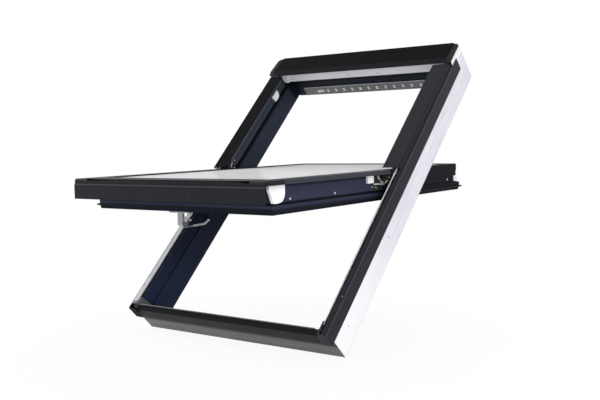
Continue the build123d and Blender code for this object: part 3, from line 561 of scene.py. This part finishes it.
def side_marks(start, colour):
    """Painted light on foot and right bevel, streaked shade on the left, a painted gap shadow."""
    x, s, n = frame_place(start)
    bevel = n > BEVEL_N
    # Painted light: the foot and the right bevel are lightened.
    clean_and_lit = painted(colour, (ramp(s, *LIT_FOOT_S), (250, 250, 252)),
                    (bevel * (x > 0), (253, 253, 253)))
    # Painted shade: the left bevel is a streaked grey.
    streak = speckle(start, 1.0, 3.0, 0.6, stretched(start, 900, 25, 900))
    shaded_bevel = between_tones(ramp(streak, 0.4, 0.6), *SHADED_BEVEL_TONES)
    # Painted shadow: a black line in the gap beside the right cover.
    gap_shadow = band(x, *GAP_SHADOW_X) * (n > GAP_SHADOW_N)
    return painted(over(bevel * (x < 0), clean_and_lit, shaded_bevel), (gap_shadow, (8, 8, 10)))


def sill_streaks(start, colour):
    """Grey with drawn lines along it, in place of the white, and painted shadow below the cover."""
    line = speckle(start, 1.0, 4.0, 0.6, stretched(start, 6, 900, 900))
    grey = between_tones(ramp(line, 0.35, 0.65), *SILL_TONES)
    _, _, n = frame_place(start)
    # Painted shadow just below the sill's cover.
    return painted(grey, ((n > SILL_COVER_SHADOW_N) * 0.9, (24, 25, 28)))


print("gap_shadow", round((GAP_SHADOW_X[1] - GAP_SHADOW_X[0]) * MM), "mm wide")

# %% [markdown]
# ## Members of the frame
# Now the two plastics are joined by the mask, in colour, roughness and height alike, so that the
# grain stops where the foil does. Two materials on one mesh would need its faces split along the
# edge. One paint with a mask leaves the mesh alone.

# %% Finishes of the frame's members
WHITE_UNEVENNESS = 0.15


def member(mask, along, marks=None):
    """Paint for a member: foil where the mask is 1, white plastic elsewhere."""
    def paint(start):
        foiled = mask(start)
        foil_colour, foil_rough, foil_height = foil_parts(start, along)
        foil_colour = foil_in_light(start, foil_colour)
        white_colour, white_rough, white_height = white_parts(start)
        if marks:
            white_colour = marks(start, white_colour)
        height = foiled * foil_height + (1 - foiled) * (WHITE_UNEVENNESS * white_height)
        return {"Base Color": over(foiled, white_colour, foil_colour),
                "Roughness": foiled * foil_rough + (1 - foiled) * white_rough,
                "Normal": bump(height, EMBOSSING)}
    return paint


frame_side_finish = finish("frame_side_plastic", member(side_foil, "s", side_marks),
                           Specular_IOR_Level=0.05)
frame_head_finish = finish("frame_head_plastic", member(head_foil, "x"), Specular_IOR_Level=0.15)
frame_sill_finish = finish("frame_sill_plastic", member(sill_foil, "x", sill_streaks),
                           Specular_IOR_Level=0.15)
print("nodes in the side finish", len(frame_side_finish.node_tree.nodes))

# %% [markdown]
# ## Rails of the sash
# The sash is foiled all round. Its rails have a groove for the hinge plates and two rounded bars
# beside it with a painted highlight, and the upper half lies in the shade of the head. The groove
# could be cut in CAD, but it is shallow, so dark bands draw it as painted shade, as they draw the
# shade under the cover and along the lower edge, and a ramp along s is the painted shade.

# %% Finishes of the sash's rails
HEAD_SHADE_S = (0.55, 0.72)
GROOVE_N, LOWER_BAR_N, UPPER_FACE_N = (-0.0568, -0.0498), (-0.0675, -0.0570), (-0.0500, -0.0470)
UNDER_COVER_N, LOWER_EDGE_N = (-0.0115, -0.0045), -0.0715


def sash_foil(along):
    """Rail foil: painted light on its bars, painted shade in its groove, edges and upper half."""
    def paint(start):
        colour, rough, height = foil_parts(start, along)
        _, s, n = sash_place(start)
        # sheen: painted highlight on the rounded bars.
        sheen = ramp(n, *UPPER_FACE_N) + band(n, *LOWER_BAR_N)
        edges = either(ramp(n, *UNDER_COVER_N), (n < LOWER_EDGE_N) * 0.8)
        # Painted shade: upper half, groove, under the cover and along the lower edge.
        dark = either(ramp(s, *HEAD_SHADE_S) * 0.95, band(n, *GROOVE_N) * 0.9, edges * 0.8)
        return {"Base Color": painted(colour, (sheen * 0.5, (64, 68, 88)), (dark, (5, 8, 14))),
                "Roughness": rough, "Normal": bump(height, EMBOSSING)}
    return paint


sash_side_finish = finish("sash_side_foil", sash_foil("s"), Specular_IOR_Level=0.05)
sash_cross_finish = finish("sash_cross_foil", sash_foil("x"), Specular_IOR_Level=0.05)
print("groove", round((GROOVE_N[1] - GROOVE_N[0]) * MM), "mm wide")

# %% [markdown]
# ## White moulded pieces
# Corner plugs, blocks and guides are injection moulded: smoother than the members, with a soft
# waviness from the mould. A plain white would do from far away, but its highlights would be
# straight, so a low wave in the bump bends them.

# %% Moulded white
MOULDED_TONES = (226, 226, 230), (243, 243, 246)
STRIP_TONES = (228, 227, 233), (254, 254, 254)
STRIP_LIT_ENDS_X = (0.30, 0.33)
BLOCK_FRONT_S = 1.0936


def moulded(start):
    """Paint for moulded white plastic."""
    wave = speckle(start, 40.0, 2.0)
    marks = speckle(start, 400.0, 3.0)
    return {"Base Color": between_tones(wave, *MOULDED_TONES),
            "Roughness": 0.34 + 0.1 * marks,
            "Normal": bump(0.7 * wave + 0.3 * marks, 0.00012)}


def strip_paint(start):
    """Strip and slider behind its holes: a brighter white as painted light, most at the ends."""
    # Painted light: a brighter white, brightest towards both ends.
    ends = ramp(abs(part(object_place(start), "X")), *STRIP_LIT_ENDS_X)
    return {**moulded(start), "Base Color": between_tones(ends, *STRIP_TONES)}


def block_paint(start):
    """Corner block of the hood: white, but its front face is coloured like the covers."""
    paint = moulded(start)
    _, s, _ = frame_place(start)
    return {**paint, "Base Color": painted(paint["Base Color"],
                                           (s < BLOCK_FRONT_S, (26, 27, 30)))}


white_moulding = finish("white_moulding", moulded, Subsurface_Weight=0.05)
strip_white = finish("strip_white", strip_paint)
block_moulding = finish("hood_block_moulding", block_paint)
print(white_moulding.name, strip_white.name, block_moulding.name)

# %% [markdown]
# ## Rubber
# The seals are black rubber with a dull skin and a little dust. The right side seal is pale on
# top, and the plugs in the long recess are painted black towards its ends, as painted shade. The
# pale top could be a thin piece of its own, but a tone laid over the top of the same rubber follows
# the seal exactly.

# %% Rubber
RUBBER_TONES = (10, 11, 13), (24, 25, 28)
PLUG_TONES = (16, 17, 19), (24, 25, 28)
SEAL_PALE_TOP_N = -0.0047
PLUG_SHADE_X = (0.28, 0.3)


def rubber(start):
    """Paint for a black seal."""
    skin = speckle(start, 700.0, 3.0)
    dust = speckle(start, 25.0, 4.0)
    return {"Base Color": between_tones(dust, *RUBBER_TONES),
            "Roughness": 0.6 + 0.2 * dust, "Normal": bump(skin, 0.00008)}


def lip_rubber(start):
    """A black seal, pale on top on the right side only."""
    paint = rubber(start)
    x, _, n = frame_place(start)
    # The top of the right seal is made pale.
    coating = (n > SEAL_PALE_TOP_N) * (x > 0)
    return {**paint, "Base Color": painted(paint["Base Color"], (coating, (254, 254, 254)))}


def plug_rubber(start):
    """Matt rubber of the plugs, painted black with shade towards the ends of the recess."""
    x, _, _ = sash_place(start)
    grain = speckle(start, 300.0, 2.0)
    # Painted shade: the plugs turn black towards the ends of the recess.
    return {"Base Color": painted(between_tones(grain, *PLUG_TONES),
                                  (ramp(abs(x), *PLUG_SHADE_X), (1, 1, 2))),
            "Roughness": 0.8 + 0.1 * grain, "Normal": bump(grain, 0.00008)}


seal_rubber = finish("seal_rubber", rubber, Specular_IOR_Level=0.12)
side_seal_finish = finish("side_seal_rubber", lip_rubber, Specular_IOR_Level=0.12)
plug_finish = finish("drain_plug_rubber", plug_rubber, Specular_IOR_Level=0.0)
print(seal_rubber.name, side_seal_finish.name, plug_finish.name)

# %% [markdown]
# ## Glass and the dust on it
# The panes are clear float glass. Seen almost along the pane, the outer one looks nearly white in
# the photograph: it mirrors the studio, and the thin dust on it adds up with the length of the view
# through it. A milky glass would be wrong from the front. So the dust is a matt layer mixed in by
# the angle alone, strong at a glance along the pane and gone straight on.

# %% Glass
DUST_FALL, DUST_MOST = 7.0, 0.92
DUST_LEAST, DUST_CLOUDS = 1.05, 0.25
GLASS_COLOURS = (0.93, 0.96, 0.95), (0.97, 0.985, 0.98)


def float_glass(start):
    """Clear glass with a hardly visible film that drifts over it."""
    film = speckle(start, 3.0, 2.0)
    return {"Roughness": 0.004 + 0.012 * film, "Base Color": between(film, *GLASS_COLOURS)}


def with_dust_film(material):
    """Lay pale dust over the glass, which shows only when one looks along the pane."""
    tree = material.node_tree
    start = Term(tree)
    facing = start.node("ShaderNodeLayerWeight", sockets={"Blend": 0.5}, out="Facing")
    cloud = speckle(start, 5.0, 4.0, 0.6)
    amount = start.maths("POWER", facing, DUST_FALL) * (DUST_LEAST + DUST_CLOUDS * cloud)
    dust = start.node("ShaderNodeBsdfDiffuse", sockets={"Color": (0.72, 0.72, 0.73, 1)},
                      out="BSDF")
    glass = Term(tree, tree.nodes["Principled BSDF"].outputs["BSDF"])
    blend = start.node("ShaderNodeMixShader", sockets={
        0: start.maths("MINIMUM", amount, DUST_MOST), 1: glass, 2: dust}, out="Shader")
    tree.links.new(blend.socket, tree.nodes["Material Output"].inputs["Surface"])
    return material


clear_glass = finish("float_glass", float_glass, Transmission_Weight=1.0, IOR=1.5)
outer_glass = with_dust_film(finish("float_glass_outside", float_glass,
                                    Transmission_Weight=1.0, IOR=1.5))
least = DUST_LEAST * (1 - cos(radians(80))) ** DUST_FALL
print("at 80 degrees dust covers at least", round(least, 2))

# %% [markdown]
# ## Spacer bar
# A bar of aluminium holds the two panes apart. It is perforated towards the gap, and its drying
# beads show as fine dots. Real holes would be thousands of faces that no view resolves, so a fine
# noise between two greys stands for them.

# %% Spacer bar
def spacer_bar(start):
    """Paint for the perforated bar."""
    dots = speckle(start, 500.0, 2.0)
    return {"Base Color": between(dots, (0.45, 0.46, 0.47), (0.62, 0.63, 0.64)),
            "Roughness": 0.35 + 0.15 * dots}


spacer_finish = finish("spacer_aluminium", spacer_bar, Metallic=1.0)
print("dots of", MM / 500, "mm")

# %% [markdown]
# ## Zinc and blackened steel
# Screws and the keeper are zinc-plated steel, bright and a little cloudy. The hinge plates and the
# bolt are blackened and greasy, and the levers of the brake are pale zinc with a brass tint. A
# fully metallic shader would show only the studio's white, so the zinc mixes in some plain colour,
# whose clouds then show in every view.

# %% Zinc and steel
def zinc_plate(start):
    """Cloudy zinc with fine scratches along the piece."""
    cloud = speckle(start, 90.0, 4.0, 0.6)
    scratch = speckle(start, 1.0, 2.0, 0.5, stretched(start, 2500, 250, 2500))
    return {"Base Color": between(ramp(cloud, 0.4, 0.62), (0.16, 0.17, 0.17), (0.78, 0.78, 0.74)),
            "Roughness": 0.3 + 0.22 * scratch, "Normal": bump(scratch, 0.00003)}


def dark_steel(start):
    """Blackened, greasy steel of the bolt and the hinge plates."""
    cloud = speckle(start, 160.0, 4.0, 0.65)
    return {"Base Color": between(ramp(cloud, 0.45, 0.72), (0.006, 0.0075, 0.008),
                                  (0.075, 0.085, 0.08)),
            "Roughness": 0.4 + 0.3 * cloud, "Normal": bump(cloud, 0.00005)}


def pale_lever(start):
    """Hinge levers: zinc with a brass tint in patches."""
    cloud = speckle(start, 70.0, 3.0)
    return {"Base Color": between(ramp(cloud, 0.4, 0.6), (0.80, 0.82, 0.80), (0.55, 0.53, 0.42)),
            "Roughness": 0.3 + 0.2 * cloud, "Normal": bump(cloud, 0.00004)}


hinge_zinc = finish("zinc_plated_steel", zinc_plate, Metallic=0.7)
bolt_black = finish("blackened_steel", dark_steel, Specular_IOR_Level=0.2)
lever_zinc = finish("hinge_lever_zinc", pale_lever, Metallic=0.35)
print(hinge_zinc.name, bolt_black.name, lever_zinc.name)

# %% [markdown]
# ## Satin aluminium of the handle
# The handle is anodised aluminium, brushed along its length, and the hub on which it turns is
# darker. The brushing could be an anisotropic shader, but a stretched noise in colour and
# roughness looks the same at this size and also survives the export.

# %% Handle
HUB_X, HUB_N = (-0.0075, 0.03), -0.113
SATIN_COLOURS = (0.2, 0.205, 0.21), (0.42, 0.425, 0.43)


def satin_aluminium(start):
    """Brushed metal, with the darker hub below the rosette."""
    brushed = speckle(start, 1.0, 3.0, 0.5, stretched(start, 120, 3000, 3000, 0.0))
    x, _, n = sash_place(start)
    hub = (n < HUB_N) * band(x, *HUB_X)
    return {"Base Color": painted(between(brushed, *SATIN_COLOURS), (hub * 0.8, (52, 54, 60))),
            "Roughness": 0.3 + 0.12 * brushed, "Normal": bump(brushed, 0.00002)}


handle_satin = finish("satin_aluminium", satin_aluminium, Metallic=1.0)
print("hub", round((HUB_X[1] - HUB_X[0]) * MM, 1), "mm across")

# %% [markdown]
# ## Ventilation strip
# The strip over the opening is grained grey plastic with a row of slots. The thin walls of the
# slots are painted near white as painted light, which makes the row easy to see. A box round each
# slot could mask them, but they repeat, so one mask counts pitches along x and measures how far a
# point lies from the nearest slot's middle.

# %% Ventilation strip
FIRST_HOLE, HOLE_PITCH, HOLES = -0.193, 0.037, 12
HOLE_HALF, HOLE_HALF_HEIGHT, HOLE_LEVEL = 0.00455, 0.00655, -0.1115
STRIP_BACK_S = 1.1293
STRIP_GREYS = (92, 93, 95), (122, 123, 125)


def strip_grey(start):
    """Grained grey face; slot walls and back edge painted near white as painted light."""
    grain = speckle(start, 1.0, 4.0, 0.6, stretched(start, 90, 900, 900))
    x, s, n = frame_place(start)
    count = (x - FIRST_HOLE) * (1 / HOLE_PITCH) + 0.5
    beside = abs(start.maths("FRACT", count) - 0.5) * HOLE_PITCH
    wall = (beside < HOLE_HALF) * (abs(n - HOLE_LEVEL) < HOLE_HALF_HEIGHT)
    # Painted light: the slot walls and the back edge are near white.
    pale = either(wall * band(count, 0.0, HOLES), s > STRIP_BACK_S)
    return {"Base Color": painted(between_tones(grain, *STRIP_GREYS), (pale, (252, 252, 253))),
            "Roughness": 0.4 + 0.15 * grain, "Normal": bump(grain, 0.00006)}


vent_grey = finish("vent_strip_grey", strip_grey)
print("slots", HOLES, "over", round(HOLE_PITCH * (HOLES - 1) * MM), "mm")

# %% [markdown]
# ## Grey and charcoal plastics
# The ribbed seals at the foot of the frame are soft grey rubber, paler on the left, where they
# catch the light. The hood's end caps and the carriers below the covers are moulded in charcoal,
# like the coating but duller. Both need only a fine grain in colour and bump.

# %% Corner seals and caps
CORNER_TONES = (58, 59, 61), (92, 93, 95)
CORNER_FRONT_S = 0.006
CAP_TONES = (14, 15, 18), (22, 23, 27)


def corner_grey(start):
    """Soft grey of the ribbed seals, dark on the right and along the front."""
    grain = speckle(start, 220.0, 4.0)
    x, s, _ = frame_place(start)
    dark = (x > 0) + (s < CORNER_FRONT_S)
    return {"Base Color": painted(between_tones(grain, *CORNER_TONES), (dark, (14, 14, 16))),
            "Roughness": 0.62 + 0.15 * grain, "Normal": bump(grain, 0.0001)}


def charcoal_moulding(start):
    """Dull charcoal of the caps and carriers."""
    grain = speckle(start, 500.0, 3.0)
    return {"Base Color": between_tones(grain, *CAP_TONES),
            "Roughness": 0.5 + 0.12 * grain, "Normal": bump(grain, 0.00008)}


corner_rubber = finish("corner_seal_grey", corner_grey)
cap_plastic = finish("charcoal_moulding", charcoal_moulding, Specular_IOR_Level=0.15)
print("materials so far", len(bpy.data.materials))

# %% [markdown]
# ## Which node wears which finish
# The CAD nodes keep their shapes, and only their material slots are filled. A finish could be set
# where it is made, but one list shows at a glance that no node was forgotten.

# %% Put the finishes on
wearing = {
    frame_side_finish: ["frame_side_left", "frame_side_right"],
    frame_head_finish: ["frame_head"],
    frame_sill_finish: ["frame_sill"],
    sash_side_finish: ["sash_side_left", "sash_side_right"],
    sash_cross_finish: ["sash_sill", "sash_head"],
    side_seal_finish: ["side_seal_left", "side_seal_right"],
    seal_rubber: ["sill_seal", "glass_bedding", "glazing_seal", "sash_fin",
                  "hinge_guide_left"],
    plug_finish: ["drain_plugs"],
    white_moulding: ["end_block_left", "end_block_right"],
    # The brighter strip white on these pieces is painted light.
    strip_white: ["head_strip", "vent_shutter", "hinge_guide_right", "stop_block_left",
                  "stop_block_right", "corner_plug_left", "corner_plug_right"],
    block_moulding: ["hood_block_left", "hood_block_right"],
    coats["hood"]: ["hood"],
    coats["covers"]: ["side_cover_right", "upper_cover_right"],
    coats["shaded_left_covers"]: ["side_cover_left", "upper_cover_left"],
    coats["sash"]: ["sash_cladding", "sash_cover_left", "sash_cover_right", "sash_trim_left",
                    "sash_trim_right", "sash_trim_head"],
    coats["sill"]: ["sill_cover"],
    cap_plastic: ["cover_carrier_left", "cover_carrier_right", "hood_cap_left",
                  "hood_cap_right"],
    clear_glass: ["inner_pane"],
    outer_glass: ["outer_pane"],
    spacer_finish: ["pane_spacer"],
    hinge_zinc: ["frame_screws", "sash_screws", "keeper_plate"],
    bolt_black: ["lock_bolt", "frame_hinge_left", "frame_hinge_right", "sash_hinge_left",
                 "sash_hinge_right"],
    handle_satin: ["handle_rosette", "handle_lever"],
    vent_grey: ["vent_grille"],
    corner_rubber: ["corner_seal_left", "corner_seal_right"],
}
for material, names in wearing.items():
    for name in names:
        mesh = nodes[name].data
        mesh.materials.clear()
        mesh.materials.append(material)
dressed = {name for names in wearing.values() for name in names}
print("dressed", len(dressed), "left plain", sorted(set(nodes) - dressed))

# %% [markdown]
# ## Small pieces
# A real window is full of little things that a drawing leaves out: screw heads, rivets, a plug in
# a spare hole, the levers of the friction brake. Ready-made cylinders could stand for some of them,
# but their sharp edges catch no light. So each is an outline pushed out of the face on which it
# sits, with soft outer edges, and it rides on its body.

# %% A flat shape pushed out of a face
def axes_of(place):
    """Unit vectors across, up the slope and outward for one of the two planes."""
    zero = place(0, 0, 0)
    return [(place(*step) - zero).normalized() for step in ((1, 0, 0), (0, 1, 0), (0, 0, 1))]


def disc(radius, sides=20):
    """Outline of a round head."""
    return [(radius * cos(2 * pi * k / sides), radius * sin(2 * pi * k / sides))
            for k in range(sides)]


def pushed_out(name, centre, normal, up, outline, thickness, material, body, soften):
    """Extrude an outline, millimetres along up and its cross direction, from a place."""
    normal, up = normal.normalized(), up.normalized()
    across = up.cross(normal)
    shape = bmesh.new()
    low = [shape.verts.new(centre + (up * a + across * b) / MM) for a, b in outline]
    grown = bmesh.ops.extrude_face_region(shape, geom=[shape.faces.new(low)])
    top = [item for item in grown["geom"] if isinstance(item, bmesh.types.BMVert)]
    bmesh.ops.translate(shape, vec=normal * thickness / MM, verts=top)
    bmesh.ops.recalc_face_normals(shape, faces=shape.faces)
    edges = [edge for edge in shape.edges if all(vert in top for vert in edge.verts)]
    bmesh.ops.bevel(shape, geom=edges, offset=soften / MM, segments=2, profile=0.5,
                    affect="EDGES")
    mesh = bpy.data.meshes.new(name)
    shape.to_mesh(mesh)
    shape.free()
    mesh.materials.append(material)
    piece = bpy.data.objects.new(name, mesh)
    bpy.context.scene.collection.objects.link(piece)
    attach(piece, body)
    return piece


FRAME_ACROSS, FRAME_UP, FRAME_OUT = axes_of(on_frame)
SASH_ACROSS, SASH_UP, _ = axes_of(on_sash)
SIDES = ((-1, "left"), (1, "right"))
small = []
print("outward from the roof", tuple(round(v, 3) for v in FRAME_OUT))

# %% [markdown]
# ## Screws and plugs of the frame
# The white strip is held by small dark screws, the upper covers by one screw each, the side covers
# by one at the foot, and the white side faces have a closed spare hole between the bracket holes.
# A full screw could be modelled, but its drive is finer than a pixel, so a low disc with a soft rim
# is enough.

# %% Screws and plugs
STRIP_SCREWS_X, STRIP_SCREW_N = (-312, -45, 81, 300), -21
COVER_SCREW = (344, 680, 15)
SPARE_HOLE = (390, 400, -81)
FOOT_SCREW = (387.6, 118, -0.72)
FACET_ACROSS, FACET_OUT = 0.689, 0.725  # the slanted facet's normal

for count, x in enumerate(STRIP_SCREWS_X):
    small.append(pushed_out(f"strip_screw_{count}", on_frame(x, STRIP_FACE_S, STRIP_SCREW_N),
                            -FRAME_UP, FRAME_OUT, disc(2.3), 0.4, bolt_black, "frame", 0.15))
for side, word in SIDES:
    cover, hole, foot = (on_frame(side * x, s, n) for x, s, n in
                         (COVER_SCREW, SPARE_HOLE, FOOT_SCREW))
    facet = side * FRAME_ACROSS * FACET_ACROSS + FRAME_OUT * FACET_OUT
    small.append(pushed_out(f"cover_screw_{word}", cover, FRAME_OUT, FRAME_UP, disc(2.6), 0.5,
                            bolt_black, "frame", 0.2))
    small.append(pushed_out(f"spare_hole_plug_{word}", hole, side * FRAME_ACROSS, FRAME_UP,
                            disc(2.4), 0.35, bolt_black, "frame", 0.15))
    small.append(pushed_out(f"foot_screw_{word}", foot, facet, FRAME_UP, disc(2.0), 0.3,
                            hinge_zinc, "frame", 0.1))
print("screws and plugs", len(small))

# %% [markdown]
# ## Levers of the brake on the sash
# Beside the arc rail, the friction brake shows a few pale levers and rivets. The whole linkage
# could be built, but most of it is hidden, and it has to clear the rail at every angle. So only
# what shows is made: flat levers on the hinge plate and rivets with soft heads, well short of the
# rail, so that the sash still turns freely. The left hinge mirrors the right one.

# %% Levers and rivets of the sash
SASH_FACE, PLATE_FACE, SHOE_FACE = 336.5, 339.0, 352.0
LEVERS = [
    # name, face, thickness, outline as s and n on the sash
    ("curved_lever", PLATE_FACE, 2.8, [(560, -9), (570, -12.5), (582, -20), (595, -30),
                                       (590, -34), (577, -26), (566, -18), (558, -14)]),
    ("foot_lever", PLATE_FACE, 3.2, [(534, -27), (562, -28), (563, -32.5), (535, -31.5)]),
    ("end_lever", PLATE_FACE, 3.2, [(567, -28), (594, -30), (593, -35), (566, -33)]),
    ("brace", SHOE_FACE, 0.5, [(578, -27), (604, -12), (607, -15), (581, -30)]),
]
RIVETS = [
    # s, n, radius, face, height
    (561, -8, 4.2, SASH_FACE, 5.0),
    (529, -37.5, 3.0, SASH_FACE, 2.5),
    (608, -12, 3.0, SHOE_FACE, 0.5),
    (597, -24, 2.2, SHOE_FACE, 0.5),
]
RIVET_SIDES = 14


def brake_of_sash(side, word):
    """Levers and rivets on one side of the sash."""
    outward = side * SASH_ACROSS
    for name, face, thickness, outline in LEVERS:
        first_s, first_n = outline[0]
        turned = [(s - first_s, -side * (n - first_n)) for s, n in outline]
        small.append(pushed_out(f"{name}_{word}", on_sash(side * face, first_s, first_n),
                                outward, SASH_UP, turned, thickness, lever_zinc, "sash",
                                min(0.5, thickness / 3)))
    for count, (s, n, radius, face, height) in enumerate(RIVETS):
        small.append(pushed_out(f"rivet_{count}_{word}", on_sash(side * face, s, n), outward,
                                SASH_UP, disc(radius, RIVET_SIDES), height, lever_zinc, "sash",
                                min(0.6, height / 3)))


print("levers", len(LEVERS), "and rivets", len(RIVETS), "on each side")

# %% [markdown]
# ## Bar and rivets on the rail
# The rail on the frame shows a short bar and two rivets above the sash. They sit on its inner face
# and ride on the frame, so they are pushed out towards the middle of the window by a function of
# their own. Both functions then run for each side.

# %% Bar and rivets of the frame's rail
RAIL_FACE = 353.0
BAR_PLACE = (660, -22)
BAR = [(0, 0), (-19, 9), (-20, 6), (-1, -3)]
RAIL_RIVETS = [(673, -27.5, 355.7), (663, -39, 356.0)]


def bar_of_rail(side, word):
    """Bar and rivets on one rail of the frame."""
    inward = -side * FRAME_ACROSS
    turned = [(s, -side * n) for s, n in BAR]
    small.append(pushed_out(f"rail_bar_{word}", on_frame(side * RAIL_FACE, *BAR_PLACE), inward,
                            FRAME_UP, turned, 0.5, lever_zinc, "frame", 0.15))
    for count, (s, n, face) in enumerate(RAIL_RIVETS):
        small.append(pushed_out(f"rail_rivet_{count}_{word}", on_frame(side * face, s, n),
                                inward, FRAME_UP, disc(2.4, RIVET_SIDES), 1.4, lever_zinc,
                                "frame", 0.4))


for side, word in SIDES:
    brake_of_sash(side, word)
    bar_of_rail(side, word)
print("small pieces", len(small))

# %% [markdown]
# ## Floor
# The photograph is a cut-out on white, so the floor has to be white in the picture and still take a
# soft shadow. A brighter lamp would bleach the object as well. Instead the camera, mirrors and
# glass see the paper glow, while the light on the object comes from plain matt paper. Under the
# window the glow is a little weaker, which leaves the shadow.

# %% Floor
FLOOR_SIZE, FLOOR_GAP = 40.0, 0.0005
SHADOW_REACH = (0.45, 0.95)


def rays_of(start):
    """1 for a ray straight from the camera, and 1 for one by way of a mirror or glass."""
    seen, mirrored, through = (start.node("ShaderNodeLightPath", out=f"Is {kind} Ray")
                               for kind in ("Camera", "Glossy", "Transmission"))
    return seen, either(mirrored, through)


floor_mesh = bpy.data.meshes.new("studio_floor")
sheet = bmesh.new()
corners = [sheet.verts.new((x * FLOOR_SIZE, y * FLOOR_SIZE, cad_box[0][2] - FLOOR_GAP))
           for x, y in ((-1, -1), (1, -1), (1, 1), (-1, 1))]
sheet.faces.new(corners)
sheet.to_mesh(floor_mesh)
sheet.free()
floor = bpy.data.objects.new("studio_floor", floor_mesh)
bpy.context.scene.collection.objects.link(floor)

paper = bpy.data.materials.new("floor_paper")
paper.use_nodes = True
start = Term(paper.node_tree)
seen, reflected = rays_of(start)
matt = start.node("ShaderNodeBsdfDiffuse", sockets={"Color": (0.86, 0.86, 0.87, 1)},
                  out="BSDF")
glow = start.node("ShaderNodeEmission", sockets={"Color": (1, 1, 1, 1), "Strength": 1.0},
                  out="Emission")
reach = start.node("ShaderNodeVectorMath", {"operation": "LENGTH"}, {0: object_place(start)},
                   out="Value")
paper_white = 0.92 + 0.08 * ramp(reach, *SHADOW_REACH)
blend = start.node("ShaderNodeMixShader", sockets={
    0: either(reflected, seen * paper_white), 1: matt, 2: glow}, out="Shader")
paper.node_tree.links.new(blend.socket, paper.node_tree.nodes["Material Output"].inputs[0])
paper.node_tree.nodes.remove(paper.node_tree.nodes["Principled BSDF"])
floor_mesh.materials.append(paper)
print("floor at", round(cad_box[0][2] - FLOOR_GAP, 4), "m")

# %% [markdown]
# ## World
# A studio's white walls light the window softly from everywhere. A picture of a studio could be
# wrapped round the scene, but the photograph's background is plain white. Seen by the camera or in
# the glass it is full white, and as light it is weaker, so that colours keep their depth.

# %% World
SOFT_LIGHT = 0.55

world = bpy.data.worlds.new("studio_world")
bpy.context.scene.world = world
world.use_nodes = True
start = Term(world.node_tree)
seen, reflected = rays_of(start)
strength = SOFT_LIGHT + (1 - SOFT_LIGHT) * either(reflected, seen)
background = world.node_tree.nodes["Background"]
background.inputs["Color"].default_value = (1, 1, 1, 1)
world.node_tree.links.new(strength.socket, background.inputs["Strength"])
print("light from the walls", SOFT_LIGHT)

# %% [markdown]
# ## Lamps
# Six large, weak lamps stand round the window, so no shadow has a hard edge. One strong lamp would
# be simpler, but the photograph shows the covers, the white side and the sill all lit, with a
# little more light from the upper left and from the front below. Each lamp faces the middle of the
# window.

# %% Lamps
TARGET = Vector((0.0, 0.25, 0.45))
LAMPS = [
    # name, place, size, watts
    ("lamp_above_left", (-1.6, -1.8, 3.0), 2.4, 45),
    ("lamp_right", (3.2, -0.4, 1.6), 2.2, 24),
    ("lamp_right_low", (3.0, -1.0, 0.8), 1.2, 17),
    ("lamp_left", (-3.2, -0.6, 1.3), 2.0, 30),
    ("lamp_behind", (0.4, 3.2, 2.4), 2.4, 24),
    ("lamp_front_low", (0.3, -3.0, 0.25), 2.0, 36),
]

for name, place, size, watts in LAMPS:
    data = bpy.data.lights.new(name, "AREA")
    data.size, data.energy = size, watts
    lamp = bpy.data.objects.new(name, data)
    lamp.location = place
    lamp.rotation_euler = (TARGET - Vector(place)).to_track_quat("-Z", "Y").to_euler()
    bpy.context.scene.collection.objects.link(lamp)
bpy.context.scene.view_settings.view_transform = "Standard"
print("lamps", len(LAMPS), "with", sum(watts for *_, watts in LAMPS), "W")
